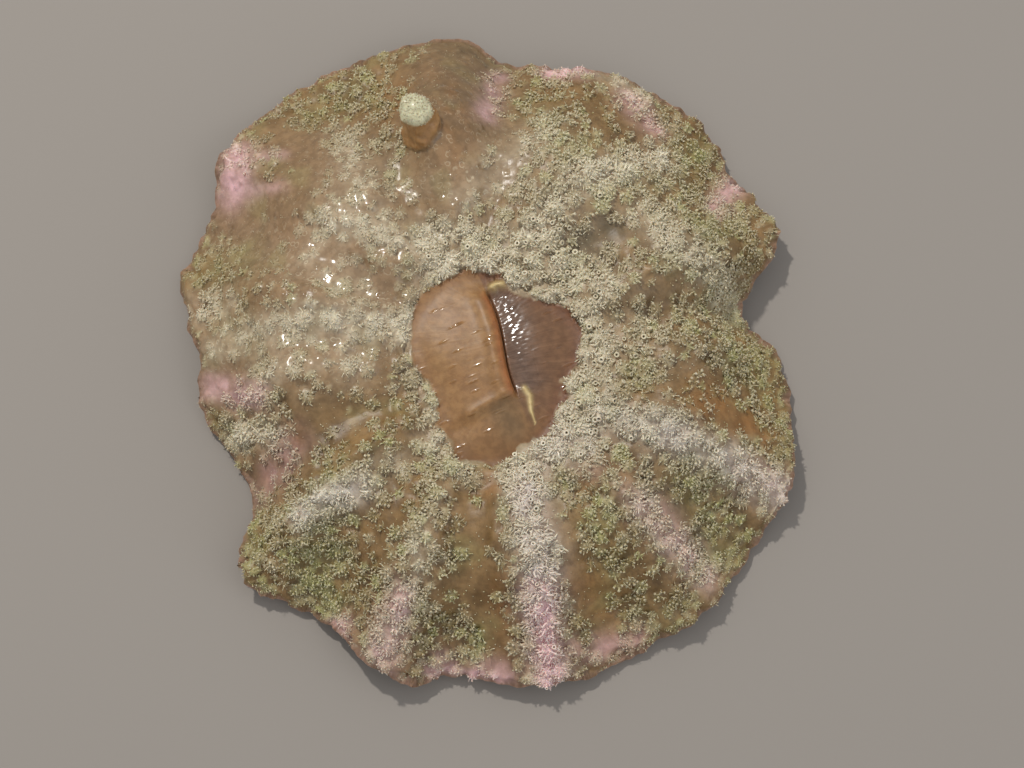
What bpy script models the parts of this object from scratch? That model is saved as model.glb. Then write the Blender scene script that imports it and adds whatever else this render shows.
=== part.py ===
"""A carpet sea anemone, life size: a wide folded disc of flesh on a short column.

The disc lies open like a draped cloth. Its bare middle holds the slit of a mouth, and the
rest, which short tentacles cover in life, hangs in eleven lobes whose rims reach down to
the ground. The solids follow the tips of the tentacles. Metres, +Z up, the ground at z = 0.
"""
import bpy
from math import atan2, cos, degrees, hypot, pi, radians, sin, sqrt

MM = 0.001
GAP = 0.3 * MM              # between pieces that touch

# Foot and column
FOOT_RADIUS = 23.0 * MM
FOOT_HEIGHT = 2.6 * MM
FOOT_TOE = 0.9 * MM         # rounding of the foot's lower edge
FOOT_TAPER = 0.4 * MM       # how much narrower the foot's top is
WAIST_RADIUS = 20.0 * MM
COLUMN_FLUTES = 12          # soft upright folds of the column's wall
FLUTE_DEPTH = 0.5 * MM
COLLAR_HEIGHT = 9.4 * MM    # where the column meets the disc
COLLAR_RADIUS = 24.0 * MM
COLLAR_FADE = 31.0 * MM     # where the disc's underside has left the collar

# The disc's sheet of flesh and tentacles
CROWN_RADIUS = 27.0 * MM    # the sheet is highest on this circle
CROWN_HEIGHT = 15.6 * MM    # of the middle of its thickness
INNER_DIP = 2.6 * MM        # how far it sinks from the crown to the bare middle
CROWN_THICKNESS = 5.8 * MM
RIM_THICKNESS = 3.6 * MM     # from THIN_FROM outwards
THIN_FROM = 47.0 * MM
LOBES_FROM = 0.9            # share of the bare middle's reach where lobes begin to rise
DRAPE = 2.1                 # exponent of the plain fall from crown to rim
FLARE = 0.62                # share of a fall that levels out again at the rim
FLARE_LOSS = 70.0           # share lost for each metre that a lobe rises
LEAN = (-0.020, 0.030)      # rise per metre towards +X and +Y, as on a sloping bed
SHEET_STEPS = 10            # points of a lobe's section from the bare middle to the rim
RIM_STEPS = 4               # points round the rim
LOBE_STEP = radians(4.0)    # largest turn between two sections of a lobe

# The rim's turning points: angle in degrees, reach from the column's axis, height of the
# sheet's middle at the rim, and rise of the crown there, in mm.
RIM = (
    (4, 45.5, 1.7, 0.4),
    (14, 39.8, 3.6, -2.2),
    (24, 49.5, 6.0, 1.8),
    (33, 50.3, 3.9, 0.4),
    (41, 49.9, 2.2, -1.1),
    (50, 53.1, 3.0, -0.3),
    (58, 52.0, 4.4, 0.8),
    (66, 52.4, 5.9, 1.6),
    (74, 50.7, 6.6, 1.6),
    (82, 50.3, 4.5, -0.7),
    (88, 50.5, 3.0, -2.0),
    (92, 54.0, 3.4, -1.1),
    (97, 54.9, 4.5, 0.9),
    (104, 54.4, 4.8, 1.6),
    (111, 54.9, 3.5, -0.3),
    (119, 55.5, 2.0, -1.2),
    (127, 55.8, 1.6, 0.9),
    (134, 54.7, 4.3, 1.3),
    (141, 54.7, 6.2, 0.8),
    (149, 50.3, 3.8, -1.8),
    (156, 50.4, 2.2, -0.0),
    (163, 50.6, 1.6, 1.8),
    (170, 47.9, 3.5, 0.7),
    (177, 44.7, 5.4, -0.8),
    (186, 45.1, 3.0, 0.6),
    (192, 43.4, 1.9, -0.2),
    (198, 41.7, 1.2, -1.2),
    (210, 42.0, 1.5, -1.8),
    (220, 49.5, 4.8, 1.9),
    (226, 48.7, 3.3, 0.4),
    (233, 46.3, 1.7, -1.7),
    (240, 46.8, 4.5, -0.1),
    (248, 49.1, 6.4, 1.6),
    (256, 49.9, 4.6, 1.4),
    (263, 47.4, 1.5, -1.5),
    (270, 48.3, 3.2, 0.6),
    (280, 49.6, 3.8, 1.5),
    (296, 49.0, 1.5, -1.1),
    (311, 49.9, 4.0, 1.4),
    (325, 48.9, 1.6, -0.8),
    (340, 49.9, 5.6, 2.0),
    (353, 46.8, 2.4, 0.2),
)

# Lobes of the disc, each up to the fold where the next one starts (degrees)
LOBES = (
    ("lobe_east", 14),
    ("lobe_northeast", 46),
    ("lobe_north_bare", 88),
    ("lobe_northwest", 117),
    ("lobe_west_upper", 149),
    ("lobe_west", 177),
    ("lobe_southwest_upper", 207),
    ("lobe_southwest", 234),
    ("lobe_south", 263),
    ("lobe_southeast", 294),
    ("lobe_east_lower", 328),
)

# The bare mound on the north lobe, and the knob that stands on it
MOUND_AT = (-5.4 * MM, 40.0 * MM)
MOUND_HALF = (9.4 * MM, 16.0 * MM)
MOUND_RISE = 4.0 * MM
KNOB_AT = (-10.2 * MM, 33.8 * MM)
KNOB_LEAN = (-0.10, 0.33)   # drift of the knob's axis in x and y, for each unit of height
KNOB_SEAT = 0.55 * MM       # clears the facets of the mound below it
KNOB_SKIRT = 2.5            # height in mm over which the knob's foot follows the mound
KNOB_SKIRT_RISE = 0.3       # share of its height that the foot keeps there
KNOB_PROFILE = (            # radius and height of the knob's turned outline, mm
    (2.9, 0.0), (2.7, 1.7), (2.5, 3.4), (3.1, 4.4), (3.0, 5.5), (1.9, 6.2),
)

# The bare middle: its edge is an oval with a few bays, about its own centre
BARE_CENTRE = (1.2 * MM, -2.4 * MM)
BARE_RADIUS = 13.4 * MM
BARE_WAVES = ((1, 1.0, 117), (2, 1.4, 102), (3, 1.5, 22), (5, 0.5, 27))  # count, mm, peak
BARE_EDGE = 14.9 * MM       # height of the bare skin at its edge
DOME_RISE = 2.6 * MM
NEAR_STEP = 1.1 * MM        # how much lower the east side lies, at the mouth

# The mouth: a straight slit across the bare middle, with a lip on each side and a
# siphonoglyph, the smooth groove that lets water in, at each end
MOUTH_TOP = (-0.4 * MM, 9.7 * MM)
MOUTH_END = (4.9 * MM, -8.2 * MM)
LIP_WIDTH = 1.5 * MM
LIP_RISE = 0.5 * MM
HALF_STEPS = 16             # sections round each half of the bare middle
DISC_STEPS = 5
ROOT_SPREAD = 0.8           # share of the mouth's strip that a half's fan grows from


def principled(name, colour, roughness):
    """A plain wet-flesh material."""
    material = bpy.data.materials.new(name)
    material.use_nodes = True
    shader = material.node_tree.nodes["Principled BSDF"]
    shader.inputs["Base Color"].default_value = (*colour, 1.0)
    shader.inputs["Roughness"].default_value = roughness
    return material


def smoothstep(low, high, value):
    t = min(max((value - low) / (high - low), 0.0), 1.0)
    return t * t * (3.0 - 2.0 * t)


def rim_value(angle, column):
    """A column of RIM at an angle (radians), on a smooth closed curve through its rows."""
    turn = degrees(angle) % 360.0
    count = len(RIM)
    after = next((i for i, row in enumerate(RIM) if row[0] > turn), count)

    def row(i):
        wrap = (after + i) // count
        place = RIM[(after + i) % count]
        return place[0] + 360.0 * wrap, place[column]

    (a0, v0), (a1, v1), (a2, v2), (a3, v3) = (row(i) for i in (-2, -1, 0, 1))
    span = a2 - a1
    t = (turn - a1) / span
    slope_1 = (v2 - v0) / (a2 - a0) * span
    slope_2 = (v3 - v1) / (a3 - a1) * span
    value = (v1 * (1 + 2 * t) * (1 - t) ** 2 + slope_1 * t * (1 - t) ** 2
             + v2 * t * t * (3 - 2 * t) + slope_2 * t * t * (t - 1))
    return value * MM


def bare_radius(angle):
    """Radius of the bare middle's edge about BARE_CENTRE."""
    waves = sum(size * MM * cos(count * (angle - radians(peak)))
                for count, size, peak in BARE_WAVES)
    return BARE_RADIUS + waves


def bare_edge_from_axis(angle, grow=0.0):
    """Distance from the column's axis to the bare middle's edge, in one direction."""
    ux, uy = cos(angle), sin(angle)
    reach = BARE_RADIUS
    for _ in range(12):
        x, y = reach * ux - BARE_CENTRE[0], reach * uy - BARE_CENTRE[1]
        reach += bare_radius(atan2(y, x)) + grow - hypot(x, y)
    return reach


def sheet_middle(radius, angle):
    """Height of the middle of the disc's sheet."""
    x, y = radius * cos(angle), radius * sin(angle)
    crown = CROWN_HEIGHT + LEAN[0] * x + LEAN[1] * y
    inner = bare_edge_from_axis(angle)
    if radius < CROWN_RADIUS:
        u = (CROWN_RADIUS - radius) / (CROWN_RADIUS - inner)
        rise = rim_value(angle, 3) * smoothstep(inner * LOBES_FROM, CROWN_RADIUS, radius)
        return crown + rise - INNER_DIP * u * u
    crown += rim_value(angle, 3)
    rim_height = rim_value(angle, 2)
    u = (radius - CROWN_RADIUS) / (rim_value(angle, 1) - RIM_THICKNESS / 2 - CROWN_RADIUS)
    flare = FLARE - FLARE_LOSS * rim_value(angle, 3)
    fall = flare * (1.0 - cos(pi * u)) / 2 + (1.0 - flare) * u ** DRAPE
    return crown - (crown - rim_height) * fall


def sheet_thickness(radius):
    return CROWN_THICKNESS + ((RIM_THICKNESS - CROWN_THICKNESS)
                              * smoothstep(CROWN_RADIUS, THIN_FROM, radius))


def mound_rise(x, y):
    """Extra height of the bare mound on the north lobe."""
    distance = hypot((x - MOUND_AT[0]) / MOUND_HALF[0], (y - MOUND_AT[1]) / MOUND_HALF[1])
    return MOUND_RISE * max(1.0 - distance * distance, 0.0) ** 1.5


def sheet_point(radius, angle, side):
    """A point of the sheet's top (side 1) or underside (side -1), as radius and height."""
    step = 0.05 * MM
    slope = (sheet_middle(radius, angle) - sheet_middle(radius - step, angle)) / step
    length = sqrt(1.0 + slope * slope)
    half = side * sheet_thickness(radius) / 2
    return radius - half * slope / length, sheet_middle(radius, angle) + half / length


def lobe_section(angle):
    """The closed outline of a lobe's section at an angle: a list of (radius, height)."""
    inner = bare_edge_from_axis(angle, GAP)
    outer = rim_value(angle, 1) - RIM_THICKNESS / 2
    radii = [inner + (outer - inner) * i / SHEET_STEPS for i in range(SHEET_STEPS + 1)]
    under = []
    for radius in radii:
        r, z = sheet_point(radius, angle, -1)
        fade = smoothstep(COLLAR_RADIUS, COLLAR_FADE, radius)
        r = radius + (r - radius) * fade
        z = COLLAR_HEIGHT + (z - COLLAR_HEIGHT) * fade
        under.append((r, max(z, 0.0)))
    top = []
    for radius in radii:
        r, z = sheet_point(radius, angle, 1)
        r = max(r, inner)
        top.append((r, z + mound_rise(r * cos(angle), r * sin(angle))))
    top[0] = (inner, top[0][1])
    rim_low, rim_high = under[-1], top[-1]
    centre = ((rim_low[0] + rim_high[0]) / 2, (rim_low[1] + rim_high[1]) / 2)
    reach = (rim_high[0] - centre[0], rim_high[1] - centre[1])
    side = (reach[1], -reach[0])                       # a quarter turn on, outwards
    rim = []
    for i in range(1, RIM_STEPS):
        turn = pi * i / RIM_STEPS
        r = centre[0] - reach[0] * cos(turn) + side[0] * sin(turn)
        z = centre[1] - reach[1] * cos(turn) + side[1] * sin(turn)
        rim.append((r, max(z, 0.0)))
    return (under + rim + top[::-1])[::-1]


def new_object(name, points, faces, material):
    """A flat-shaded or smooth solid from points and faces."""
    mesh = bpy.data.meshes.new(name)
    mesh.from_pydata(points, [], faces)
    mesh.materials.append(material)
    mesh.validate()
    mesh.shade_smooth()
    mesh.set_sharp_from_angle(angle=radians(50))
    body = bpy.data.objects.new(name, mesh)
    bpy.context.collection.objects.link(body)
    return body


def loft(rings, closed):
    """Points and faces that join equal rings; closed joins the last ring to the first."""
    size = len(rings[0])
    points = [point for ring in rings for point in ring]
    faces = []
    pairs = len(rings) if closed else len(rings) - 1
    for i in range(pairs):
        a, b = i * size, (i + 1) % len(rings) * size
        for j in range(size):
            k = (j + 1) % size
            faces.append((a + j, a + k, b + k, b + j))
    if not closed:
        last = (len(rings) - 1) * size
        faces.append(tuple(range(size))[::-1])
        faces.append(tuple(range(last, last + size)))
    return points, faces


def make_lobe(name, start, end, material):
    """One lobe between two folds, a swept section with a gap to each neighbour."""
    count = max(3, round((end - start) / LOBE_STEP))
    rings = []
    for i in range(count + 1):
        angle = start + (end - start) * i / count
        shift = GAP / 2 * ((i == 0) - (i == count))
        ux, uy = cos(angle), sin(angle)
        rings.append([(r * ux - shift * uy, r * uy + shift * ux, z)
                      for r, z in lobe_section(angle)])
    return new_object(name, *loft(rings, closed=False), material)


def turned(name, profile, sides, material, wobble=None):
    """A solid turned about the column's axis from (radius, height) points, bottom to top."""
    wobble = wobble or (lambda angle, height: 0.0)
    rings = []
    for radius, z in profile:
        ring = []
        for j in range(sides):
            angle = 2 * pi * j / sides
            r = radius + wobble(angle, z)
            ring.append((r * cos(angle), r * sin(angle), z))
        rings.append(ring)
    return new_object(name, *loft(rings, closed=False), material)


def flute(angle, height):
    """The column's wall swells between its upright folds, most at half height."""
    return FLUTE_DEPTH * cos(COLUMN_FLUTES * angle) * sin(pi * min(height / COLLAR_HEIGHT, 1))


def make_foot_and_column(foot_material, column_material):
    foot = [(FOOT_RADIUS - FOOT_TOE, 0.0), (FOOT_RADIUS, FOOT_TOE),
            (FOOT_RADIUS - FOOT_TAPER, FOOT_HEIGHT)]
    turned("foot", foot, 48, foot_material)
    low, high = FOOT_HEIGHT + GAP, COLLAR_HEIGHT - GAP
    wall = []
    for i in range(6):
        t = i / 5
        foot_side = FOOT_RADIUS - 2 * FOOT_TAPER
        radius = (WAIST_RADIUS + (foot_side - WAIST_RADIUS) * (1 - t) ** 3
                  + (COLLAR_RADIUS - WAIST_RADIUS) * t ** 3)
        wall.append((radius, low + (high - low) * t))
    turned("column", wall, 48, column_material, flute)


def mouth_frame():
    """Middle of the mouth, unit vectors along and across it, and half its length."""
    middle = [(a + b) / 2 for a, b in zip(MOUTH_TOP, MOUTH_END)]
    along = (MOUTH_TOP[0] - MOUTH_END[0], MOUTH_TOP[1] - MOUTH_END[1])
    length = hypot(*along)
    along = (along[0] / length, along[1] / length)
    return middle, along, (along[1], -along[0]), length / 2


def bare_height(x, y, side):
    """Height of the bare skin; side is -1 west of the mouth and 1 east of it."""
    dx, dy = x - BARE_CENTRE[0], y - BARE_CENTRE[1]
    out = min(hypot(dx, dy) / bare_radius(atan2(dy, dx)), 1.0)
    step = NEAR_STEP * (1.0 - out) if side > 0 else 0.0
    return BARE_EDGE + LEAN[0] * x + LEAN[1] * y + DOME_RISE * (1.0 - out ** 2.4) - step


def reach_to_edge(x, y, ux, uy):
    """Distance from a point to the bare middle's edge along a direction."""
    reach = BARE_RADIUS
    for _ in range(20):
        dx, dy = x + ux * reach - BARE_CENTRE[0], y + uy * reach - BARE_CENTRE[1]
        reach += bare_radius(atan2(dy, dx)) - hypot(dx, dy)
    return reach


def slab(name, rows, height_of, material):
    """A flat-bottomed solid over a grid of (x, y) rows, its top at height_of(x, y)."""
    wide = len(rows[0])
    count = len(rows) * wide
    flat = [place for row in rows for place in row]
    points = [(x, y, COLLAR_HEIGHT) for x, y in flat]
    points += [(x, y, height_of(x, y)) for x, y in flat]
    faces = []
    for i in range(len(rows) - 1):
        for j in range(wide - 1):
            a, b = i * wide + j, (i + 1) * wide + j
            faces.append((a, a + 1, b + 1, b))
            faces.append((a + count, b + count, b + 1 + count, a + 1 + count))
    last = (len(rows) - 1) * wide
    edge = (list(range(wide)) + [i * wide + wide - 1 for i in range(1, len(rows))]
            + list(range(last + wide - 2, last - 1, -1))
            + [i * wide for i in range(len(rows) - 2, 0, -1)])
    for a, b in zip(edge, edge[1:] + edge[:1]):
        faces.append((b, a, a + count, b + count))
    return new_object(name, points, faces, material)


def make_bare_half(name, side, material):
    """One half of the bare middle: a fan from the mouth's strip out to the edge."""
    middle, along, across, _ = mouth_frame()
    offset = LIP_WIDTH + GAP
    across = (across[0] * side, across[1] * side)
    start = (middle[0] + across[0] * offset, middle[1] + across[1] * offset)
    ends = [reach_to_edge(*start, along[0] * way, along[1] * way) for way in (1, -1)]
    rows = []
    for i in range(HALF_STEPS + 1):
        turn = pi * i / HALF_STEPS
        ux = along[0] * cos(turn) + across[0] * sin(turn)
        uy = along[1] * cos(turn) + across[1] * sin(turn)
        reach = reach_to_edge(*start, ux, uy)
        root = cos(turn) * ROOT_SPREAD * (ends[0] if turn < pi / 2 else ends[1])
        foot = (start[0] + along[0] * root, start[1] + along[1] * root)
        tip = (start[0] + ux * reach, start[1] + uy * reach)
        rows.append([(foot[0] + (tip[0] - foot[0]) * j / DISC_STEPS,
                      foot[1] + (tip[1] - foot[1]) * j / DISC_STEPS)
                     for j in range(DISC_STEPS + 1)])
    if side < 0:
        rows.reverse()
    slab(name, rows, lambda x, y: bare_height(x, y, side), material)


def strip_rows(first, last, low, high, steps, wide):
    """Grid rows along the mouth's strip, from first to last, between two offsets."""
    middle, along, across, _ = mouth_frame()
    rows = []
    for i in range(steps + 1):
        s = first + (last - first) * i / steps
        row = []
        for j in range(wide + 1):
            w = low + (high - low) * j / wide
            row.append((middle[0] + along[0] * s + across[0] * w,
                        middle[1] + along[1] * s + across[1] * w))
        rows.append(row)
    return rows


def make_mouth(lip_material, groove_material):
    """Two lips along the slit, and a siphonoglyph at each end of it."""
    middle, along, across, half = mouth_frame()

    def lip_height(side):
        def height(x, y):
            w = ((x - middle[0]) * across[0] + (y - middle[1]) * across[1]) * side
            round_over = sin(pi * min(max(w / LIP_WIDTH, 0.0), 1.0))
            return bare_height(x, y, side) + LIP_RISE * round_over
        return height

    for name, side in (("lip_west", -1), ("lip_east", 1)):
        inner, outer = sorted((side * GAP / 2, side * LIP_WIDTH))
        rows = strip_rows(half, -half, inner, outer, 12, 4)
        slab(name, rows, lip_height(side), lip_material)
    for name, way in (("siphonoglyph_north", 1), ("siphonoglyph_south", -1)):
        reach = reach_to_edge(*middle, along[0] * way, along[1] * way) - 2 * GAP
        first, last = sorted((way * (half + GAP), way * reach), reverse=True)
        rows = strip_rows(first, last, -LIP_WIDTH, LIP_WIDTH, 4, 4)
        slab(name, rows, lambda x, y: bare_height(x, y, 1), groove_material)


def top_height(x, y):
    """Height of the disc's top above a place on the ground."""
    radius, angle = hypot(x, y), atan2(y, x)
    r = radius
    for _ in range(12):
        r += radius - sheet_point(r, angle, 1)[0]
    return sheet_point(r, angle, 1)[1] + mound_rise(x, y)


def make_knob(material):
    """A short thick stub on the mound, with a swollen cap."""
    sides = 14
    rings = []
    for radius, height in KNOB_PROFILE:
        ring = []
        for j in range(sides):
            angle = 2 * pi * j / sides
            x = KNOB_AT[0] + radius * MM * cos(angle)
            y = KNOB_AT[1] + radius * MM * sin(angle)
            seat = top_height(x, y) + KNOB_SEAT
            level = top_height(*KNOB_AT) + height * MM
            fade = smoothstep(0.0, KNOB_SKIRT, height)
            z = seat + (level - seat) * fade + KNOB_SKIRT_RISE * height * MM * (1 - fade)
            ring.append((x + KNOB_LEAN[0] * height * MM, y + KNOB_LEAN[1] * height * MM, z))
        rings.append(ring)
    new_object("knob", *loft(rings, closed=False), material)


def centre_on_ground():
    """Moves every mesh so that the whole stands centred over the origin, on z = 0."""
    bodies = [body for body in bpy.data.objects if body.type == "MESH"]
    corners = [vertex.co for body in bodies for vertex in body.data.vertices]
    low = [min(corner[i] for corner in corners) for i in range(3)]
    high = [max(corner[i] for corner in corners) for i in range(3)]
    shift = ((low[0] + high[0]) / 2, (low[1] + high[1]) / 2, low[2])
    for body in bodies:
        for vertex in body.data.vertices:
            vertex.co.x -= shift[0]
            vertex.co.y -= shift[1]
            vertex.co.z -= shift[2]
    print("moved by", [round(value / MM, 3) for value in shift], "mm")


def main():
    for old in list(bpy.data.objects):
        bpy.data.objects.remove(old, do_unlink=True)
    tentacled = principled("tentacled_disc", (0.34, 0.27, 0.15), 0.35)
    bare = principled("bare_disc", (0.36, 0.17, 0.08), 0.3)
    lip = principled("lip", (0.45, 0.16, 0.05), 0.3)
    groove = principled("siphonoglyph", (0.72, 0.45, 0.15), 0.35)
    wall = principled("column_wall", (0.55, 0.27, 0.24), 0.45)
    cap = principled("knob", (0.55, 0.50, 0.25), 0.35)

    for i, (name, start) in enumerate(LOBES):
        end = LOBES[i + 1][1] if i + 1 < len(LOBES) else LOBES[0][1] + 360
        make_lobe(name, radians(start), radians(end), tentacled)
    make_bare_half("bare_disc_west", -1, bare)
    make_bare_half("bare_disc_east", 1, bare)
    make_mouth(lip, groove)
    make_foot_and_column(wall, wall)
    make_knob(cap)
    centre_on_ground()


main()
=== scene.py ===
# %% [markdown]
# # A carpet sea anemone
#
# The animal is a wide sheet of wet flesh, draped in folds from a short column. Its bare
# middle holds the slit of a mouth, and the rest of its upper side is thick with tentacles
# less than a millimetre across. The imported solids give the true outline, measured to the
# tips of the tentacles. Here one skin takes their place, and the tentacles grow on it.

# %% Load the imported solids
from math import cos, pi, radians, sin

import bmesh
import bpy
import numpy as np
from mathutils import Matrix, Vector, noise
from mathutils.bvhtree import BVHTree


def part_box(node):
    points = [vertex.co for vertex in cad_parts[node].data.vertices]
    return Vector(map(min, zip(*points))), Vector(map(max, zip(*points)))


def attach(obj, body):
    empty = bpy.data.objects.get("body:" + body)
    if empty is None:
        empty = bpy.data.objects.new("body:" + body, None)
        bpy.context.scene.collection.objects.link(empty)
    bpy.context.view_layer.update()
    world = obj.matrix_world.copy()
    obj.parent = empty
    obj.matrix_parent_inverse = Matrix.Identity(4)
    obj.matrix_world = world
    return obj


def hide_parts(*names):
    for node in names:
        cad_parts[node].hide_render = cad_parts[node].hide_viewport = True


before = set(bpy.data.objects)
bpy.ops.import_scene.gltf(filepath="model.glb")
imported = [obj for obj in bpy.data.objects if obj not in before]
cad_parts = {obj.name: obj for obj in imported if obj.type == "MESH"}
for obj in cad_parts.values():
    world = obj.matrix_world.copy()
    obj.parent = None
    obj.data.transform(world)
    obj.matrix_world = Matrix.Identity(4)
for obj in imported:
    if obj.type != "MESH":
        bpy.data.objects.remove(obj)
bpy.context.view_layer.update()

MM = 0.001
NODES = sorted(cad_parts)
LOBES = [name for name in NODES if name.startswith("lobe_")]
LIPS = ["lip_west", "lip_east"]
BARE = ["bare_disc_west", "bare_disc_east", "siphonoglyph_north", "siphonoglyph_south"] + LIPS
WALL = ["column", "foot"]
foot_low, foot_high = (np.array(corner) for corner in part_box("foot"))
AXIS = ((foot_low + foot_high) / 2)[:2]
print("lobes", len(LOBES), "column axis at", (AXIS / MM).round(2), "mm")

# %% [markdown]
# ## Stage
#
# Wet flesh shows by its highlights, so the main light is a small panel, high up at the
# upper left like the sun, and gives small sharp glints. A broad panel on the other side
# and a grey sky fill the shadows. The floor is a plain warm grey. The camera looks down
# almost vertically, leaning a little towards the near side.

# %% Floor, lights and camera
ELEVATION = radians(77)
LENS_DISTANCE = 0.42
FIELD_WIDTH = 155.0 * MM        # what the frame takes in at the animal's height
SENSOR = 36.0
AIM = Vector((AXIS[0] + 3.6 * MM, AXIS[1] - 3.4 * MM, 10.0 * MM))
SKY = (0.51, 0.52, 0.535)
FLOOR_HALF_WIDTH = 1.5
FLOOR_HEIGHT = -0.02 * MM       # a hair under the foot
FLOOR_COLOUR, FLOOR_ROUGHNESS = (0.30, 0.27, 0.24), 0.8
# name, place and width in metres, power in watts, colour
PANELS = (("key_panel", (-0.22, 0.32, 0.64), 0.032, 3.0, (1.0, 0.97, 0.92)),
          ("fill_panel", (0.55, -0.25, 0.45), 0.6, 0.8, (0.93, 0.96, 1.0)))


def plain_material(name, colour, roughness):
    material = bpy.data.materials.new(name)
    material.use_nodes = True
    shader = material.node_tree.nodes["Principled BSDF"]
    shader.inputs["Base Color"].default_value = (*colour, 1.0)
    shader.inputs["Roughness"].default_value = roughness
    return material


def add_object(name, data):
    made = bpy.data.objects.new(name, data)
    bpy.context.scene.collection.objects.link(made)
    return made


def make_floor():
    corners = [(x * FLOOR_HALF_WIDTH, y * FLOOR_HALF_WIDTH, FLOOR_HEIGHT)
               for x, y in ((-1, -1), (1, -1), (1, 1), (-1, 1))]
    mesh = bpy.data.meshes.new("floor")
    mesh.from_pydata(corners, [], [(0, 1, 2, 3)])
    mesh.materials.append(plain_material("floor_paper", FLOOR_COLOUR, FLOOR_ROUGHNESS))
    add_object("floor", mesh)


def make_panel(name, place, width, power, colour):
    """A round light panel at a place, facing the animal."""
    lamp = bpy.data.lights.new(name, "AREA")
    lamp.shape = "DISK"
    lamp.size, lamp.energy, lamp.color = width, power, colour
    panel = add_object(name, lamp)
    panel.location = place
    panel.rotation_euler = (AIM - Vector(place)).to_track_quat("-Z", "Y").to_euler()


def make_camera():
    lens = bpy.data.cameras.new("camera")
    lens.sensor_width = SENSOR
    lens.lens = SENSOR * LENS_DISTANCE / FIELD_WIDTH
    lens.clip_start = 0.01
    camera = add_object("camera", lens)
    away = Vector((0.0, -cos(ELEVATION), sin(ELEVATION)))
    camera.location = AIM + away * LENS_DISTANCE
    camera.rotation_euler = away.to_track_quat("Z", "Y").to_euler()
    bpy.context.scene.camera = camera


make_floor()
for panel in PANELS:
    make_panel(*panel)
world = bpy.data.worlds.new("studio")
world.use_nodes = True
world.node_tree.nodes["Background"].inputs["Color"].default_value = (*SKY, 1.0)
bpy.context.scene.world = world
bpy.context.scene.view_settings.view_transform = "Standard"
make_camera()
print("camera", LENS_DISTANCE, "m away, with", len(PANELS), "panels")

# %% [markdown]
# ## Arithmetic on sockets
#
# Both the materials and the Geometry Nodes trees are easier to read as sums than as lists
# of nodes. A Wire wraps one socket, and each operator on it adds one node: Math for numbers
# and Vector Math for vectors. A Graph adds every other kind of node.


# %% A wire and a graph
class Wire:
    """A socket whose arithmetic adds nodes to its graph."""

    def __init__(self, graph, node, output=0):
        self.graph, self.made = graph, node
        self.socket = node.outputs[output]

    def other(self, output):
        return Wire(self.graph, self.made, output)

    def calc(self, operation, first, second):
        vector = any(isinstance(value, tuple) or
                     (isinstance(value, Wire) and value.socket.type == "VECTOR")
                     for value in (first, second))
        kind = "ShaderNodeVectorMath" if vector else "ShaderNodeMath"
        values = {0: first, 1: second}
        if vector:
            values = {slot: (value,) * 3 if isinstance(value, (int, float)) else value
                      for slot, value in values.items()}
        return self.graph.add(kind, {"operation": operation}, values)

    def __add__(self, other):
        return self.calc("ADD", self, other)

    __radd__ = __add__

    def __sub__(self, other):
        return self.calc("SUBTRACT", self, other)

    def __rsub__(self, other):
        return self.calc("SUBTRACT", other, self)

    def __mul__(self, other):
        return self.calc("MULTIPLY", self, other)

    __rmul__ = __mul__

    def length(self):
        return self.graph.add("ShaderNodeVectorMath", {"operation": "LENGTH"}, {0: self}, 1)

    def part(self, axis):
        return self.graph.add("ShaderNodeSeparateXYZ", {}, {0: self}, axis)

    def step(self, low, high, start=0.0, end=1.0):
        """A smooth step from start to end while this goes from low to high."""
        return self.graph.add("ShaderNodeMapRange", {"interpolation_type": "SMOOTHSTEP"},
                              {"Value": self, "From Min": low, "From Max": high,
                               "To Min": start, "To Max": end})


class Graph:
    """Adds nodes to a tree and joins them up."""

    def __init__(self, tree):
        self.tree = tree

    def add(self, kind, settings, inputs, output=0):
        node = self.tree.nodes.new(kind)
        for name, value in settings.items():
            setattr(node, name, value)
        for slot, value in inputs.items():
            if isinstance(value, Wire):
                self.tree.links.new(value.socket, node.inputs[slot])
            else:
                node.inputs[slot].default_value = value
        return Wire(self, node, output) if node.outputs else None

    def ramp(self, value, stops):
        """A colour ramp with (place, colour) stops."""
        made = self.add("ShaderNodeValToRGB", {}, {0: value})
        elements = made.made.color_ramp.elements
        while len(elements) < len(stops):
            elements.new(0.5)
        for element, (place, colour) in zip(elements, stops):
            element.position, element.color = place, (*colour, 1.0)
        return made

    def mix(self, factor, first, second, blend="MIX"):
        """A blend of two colours."""
        first, second = ((*c, 1.0) if isinstance(c, tuple) and len(c) == 3 else c
                         for c in (first, second))
        return self.add("ShaderNodeMix", {"data_type": "RGBA", "blend_type": blend},
                        {0: factor, 6: first, 7: second}, 2)

    def noise(self, place, scale, detail, roughness):
        return self.add("ShaderNodeTexNoise", {}, {"Vector": place, "Scale": scale,
                                                   "Detail": detail, "Roughness": roughness})

    def attribute(self, name, output="Fac"):
        return self.add("ShaderNodeAttribute", {"attribute_name": name}, {}, output)


def spectral(red, green, blue):
    """A colour as linear values from the eye's 0 to 255 scale."""
    values = [channel / 255.0 for channel in (red, green, blue)]
    return tuple(v / 12.92 if v <= 0.04045 else ((v + 0.055) / 1.055) ** 2.4 for v in values)


print("wire and graph ready")

# %% [markdown]
# ## The skin's raw shape
#
# The flesh is one continuous surface, while the solids are cut into lobes with thin gaps.
# A joined copy of them is swollen until the gaps close, a voxel remesh makes one surface
# of it, relaxing takes away the flat facets, and the surface is drawn back by the swell.

# %% One surface from all the solids
SWELL = 0.30 * MM
VOXEL = 0.58 * MM
RELAX_ROUNDS = 14


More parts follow.
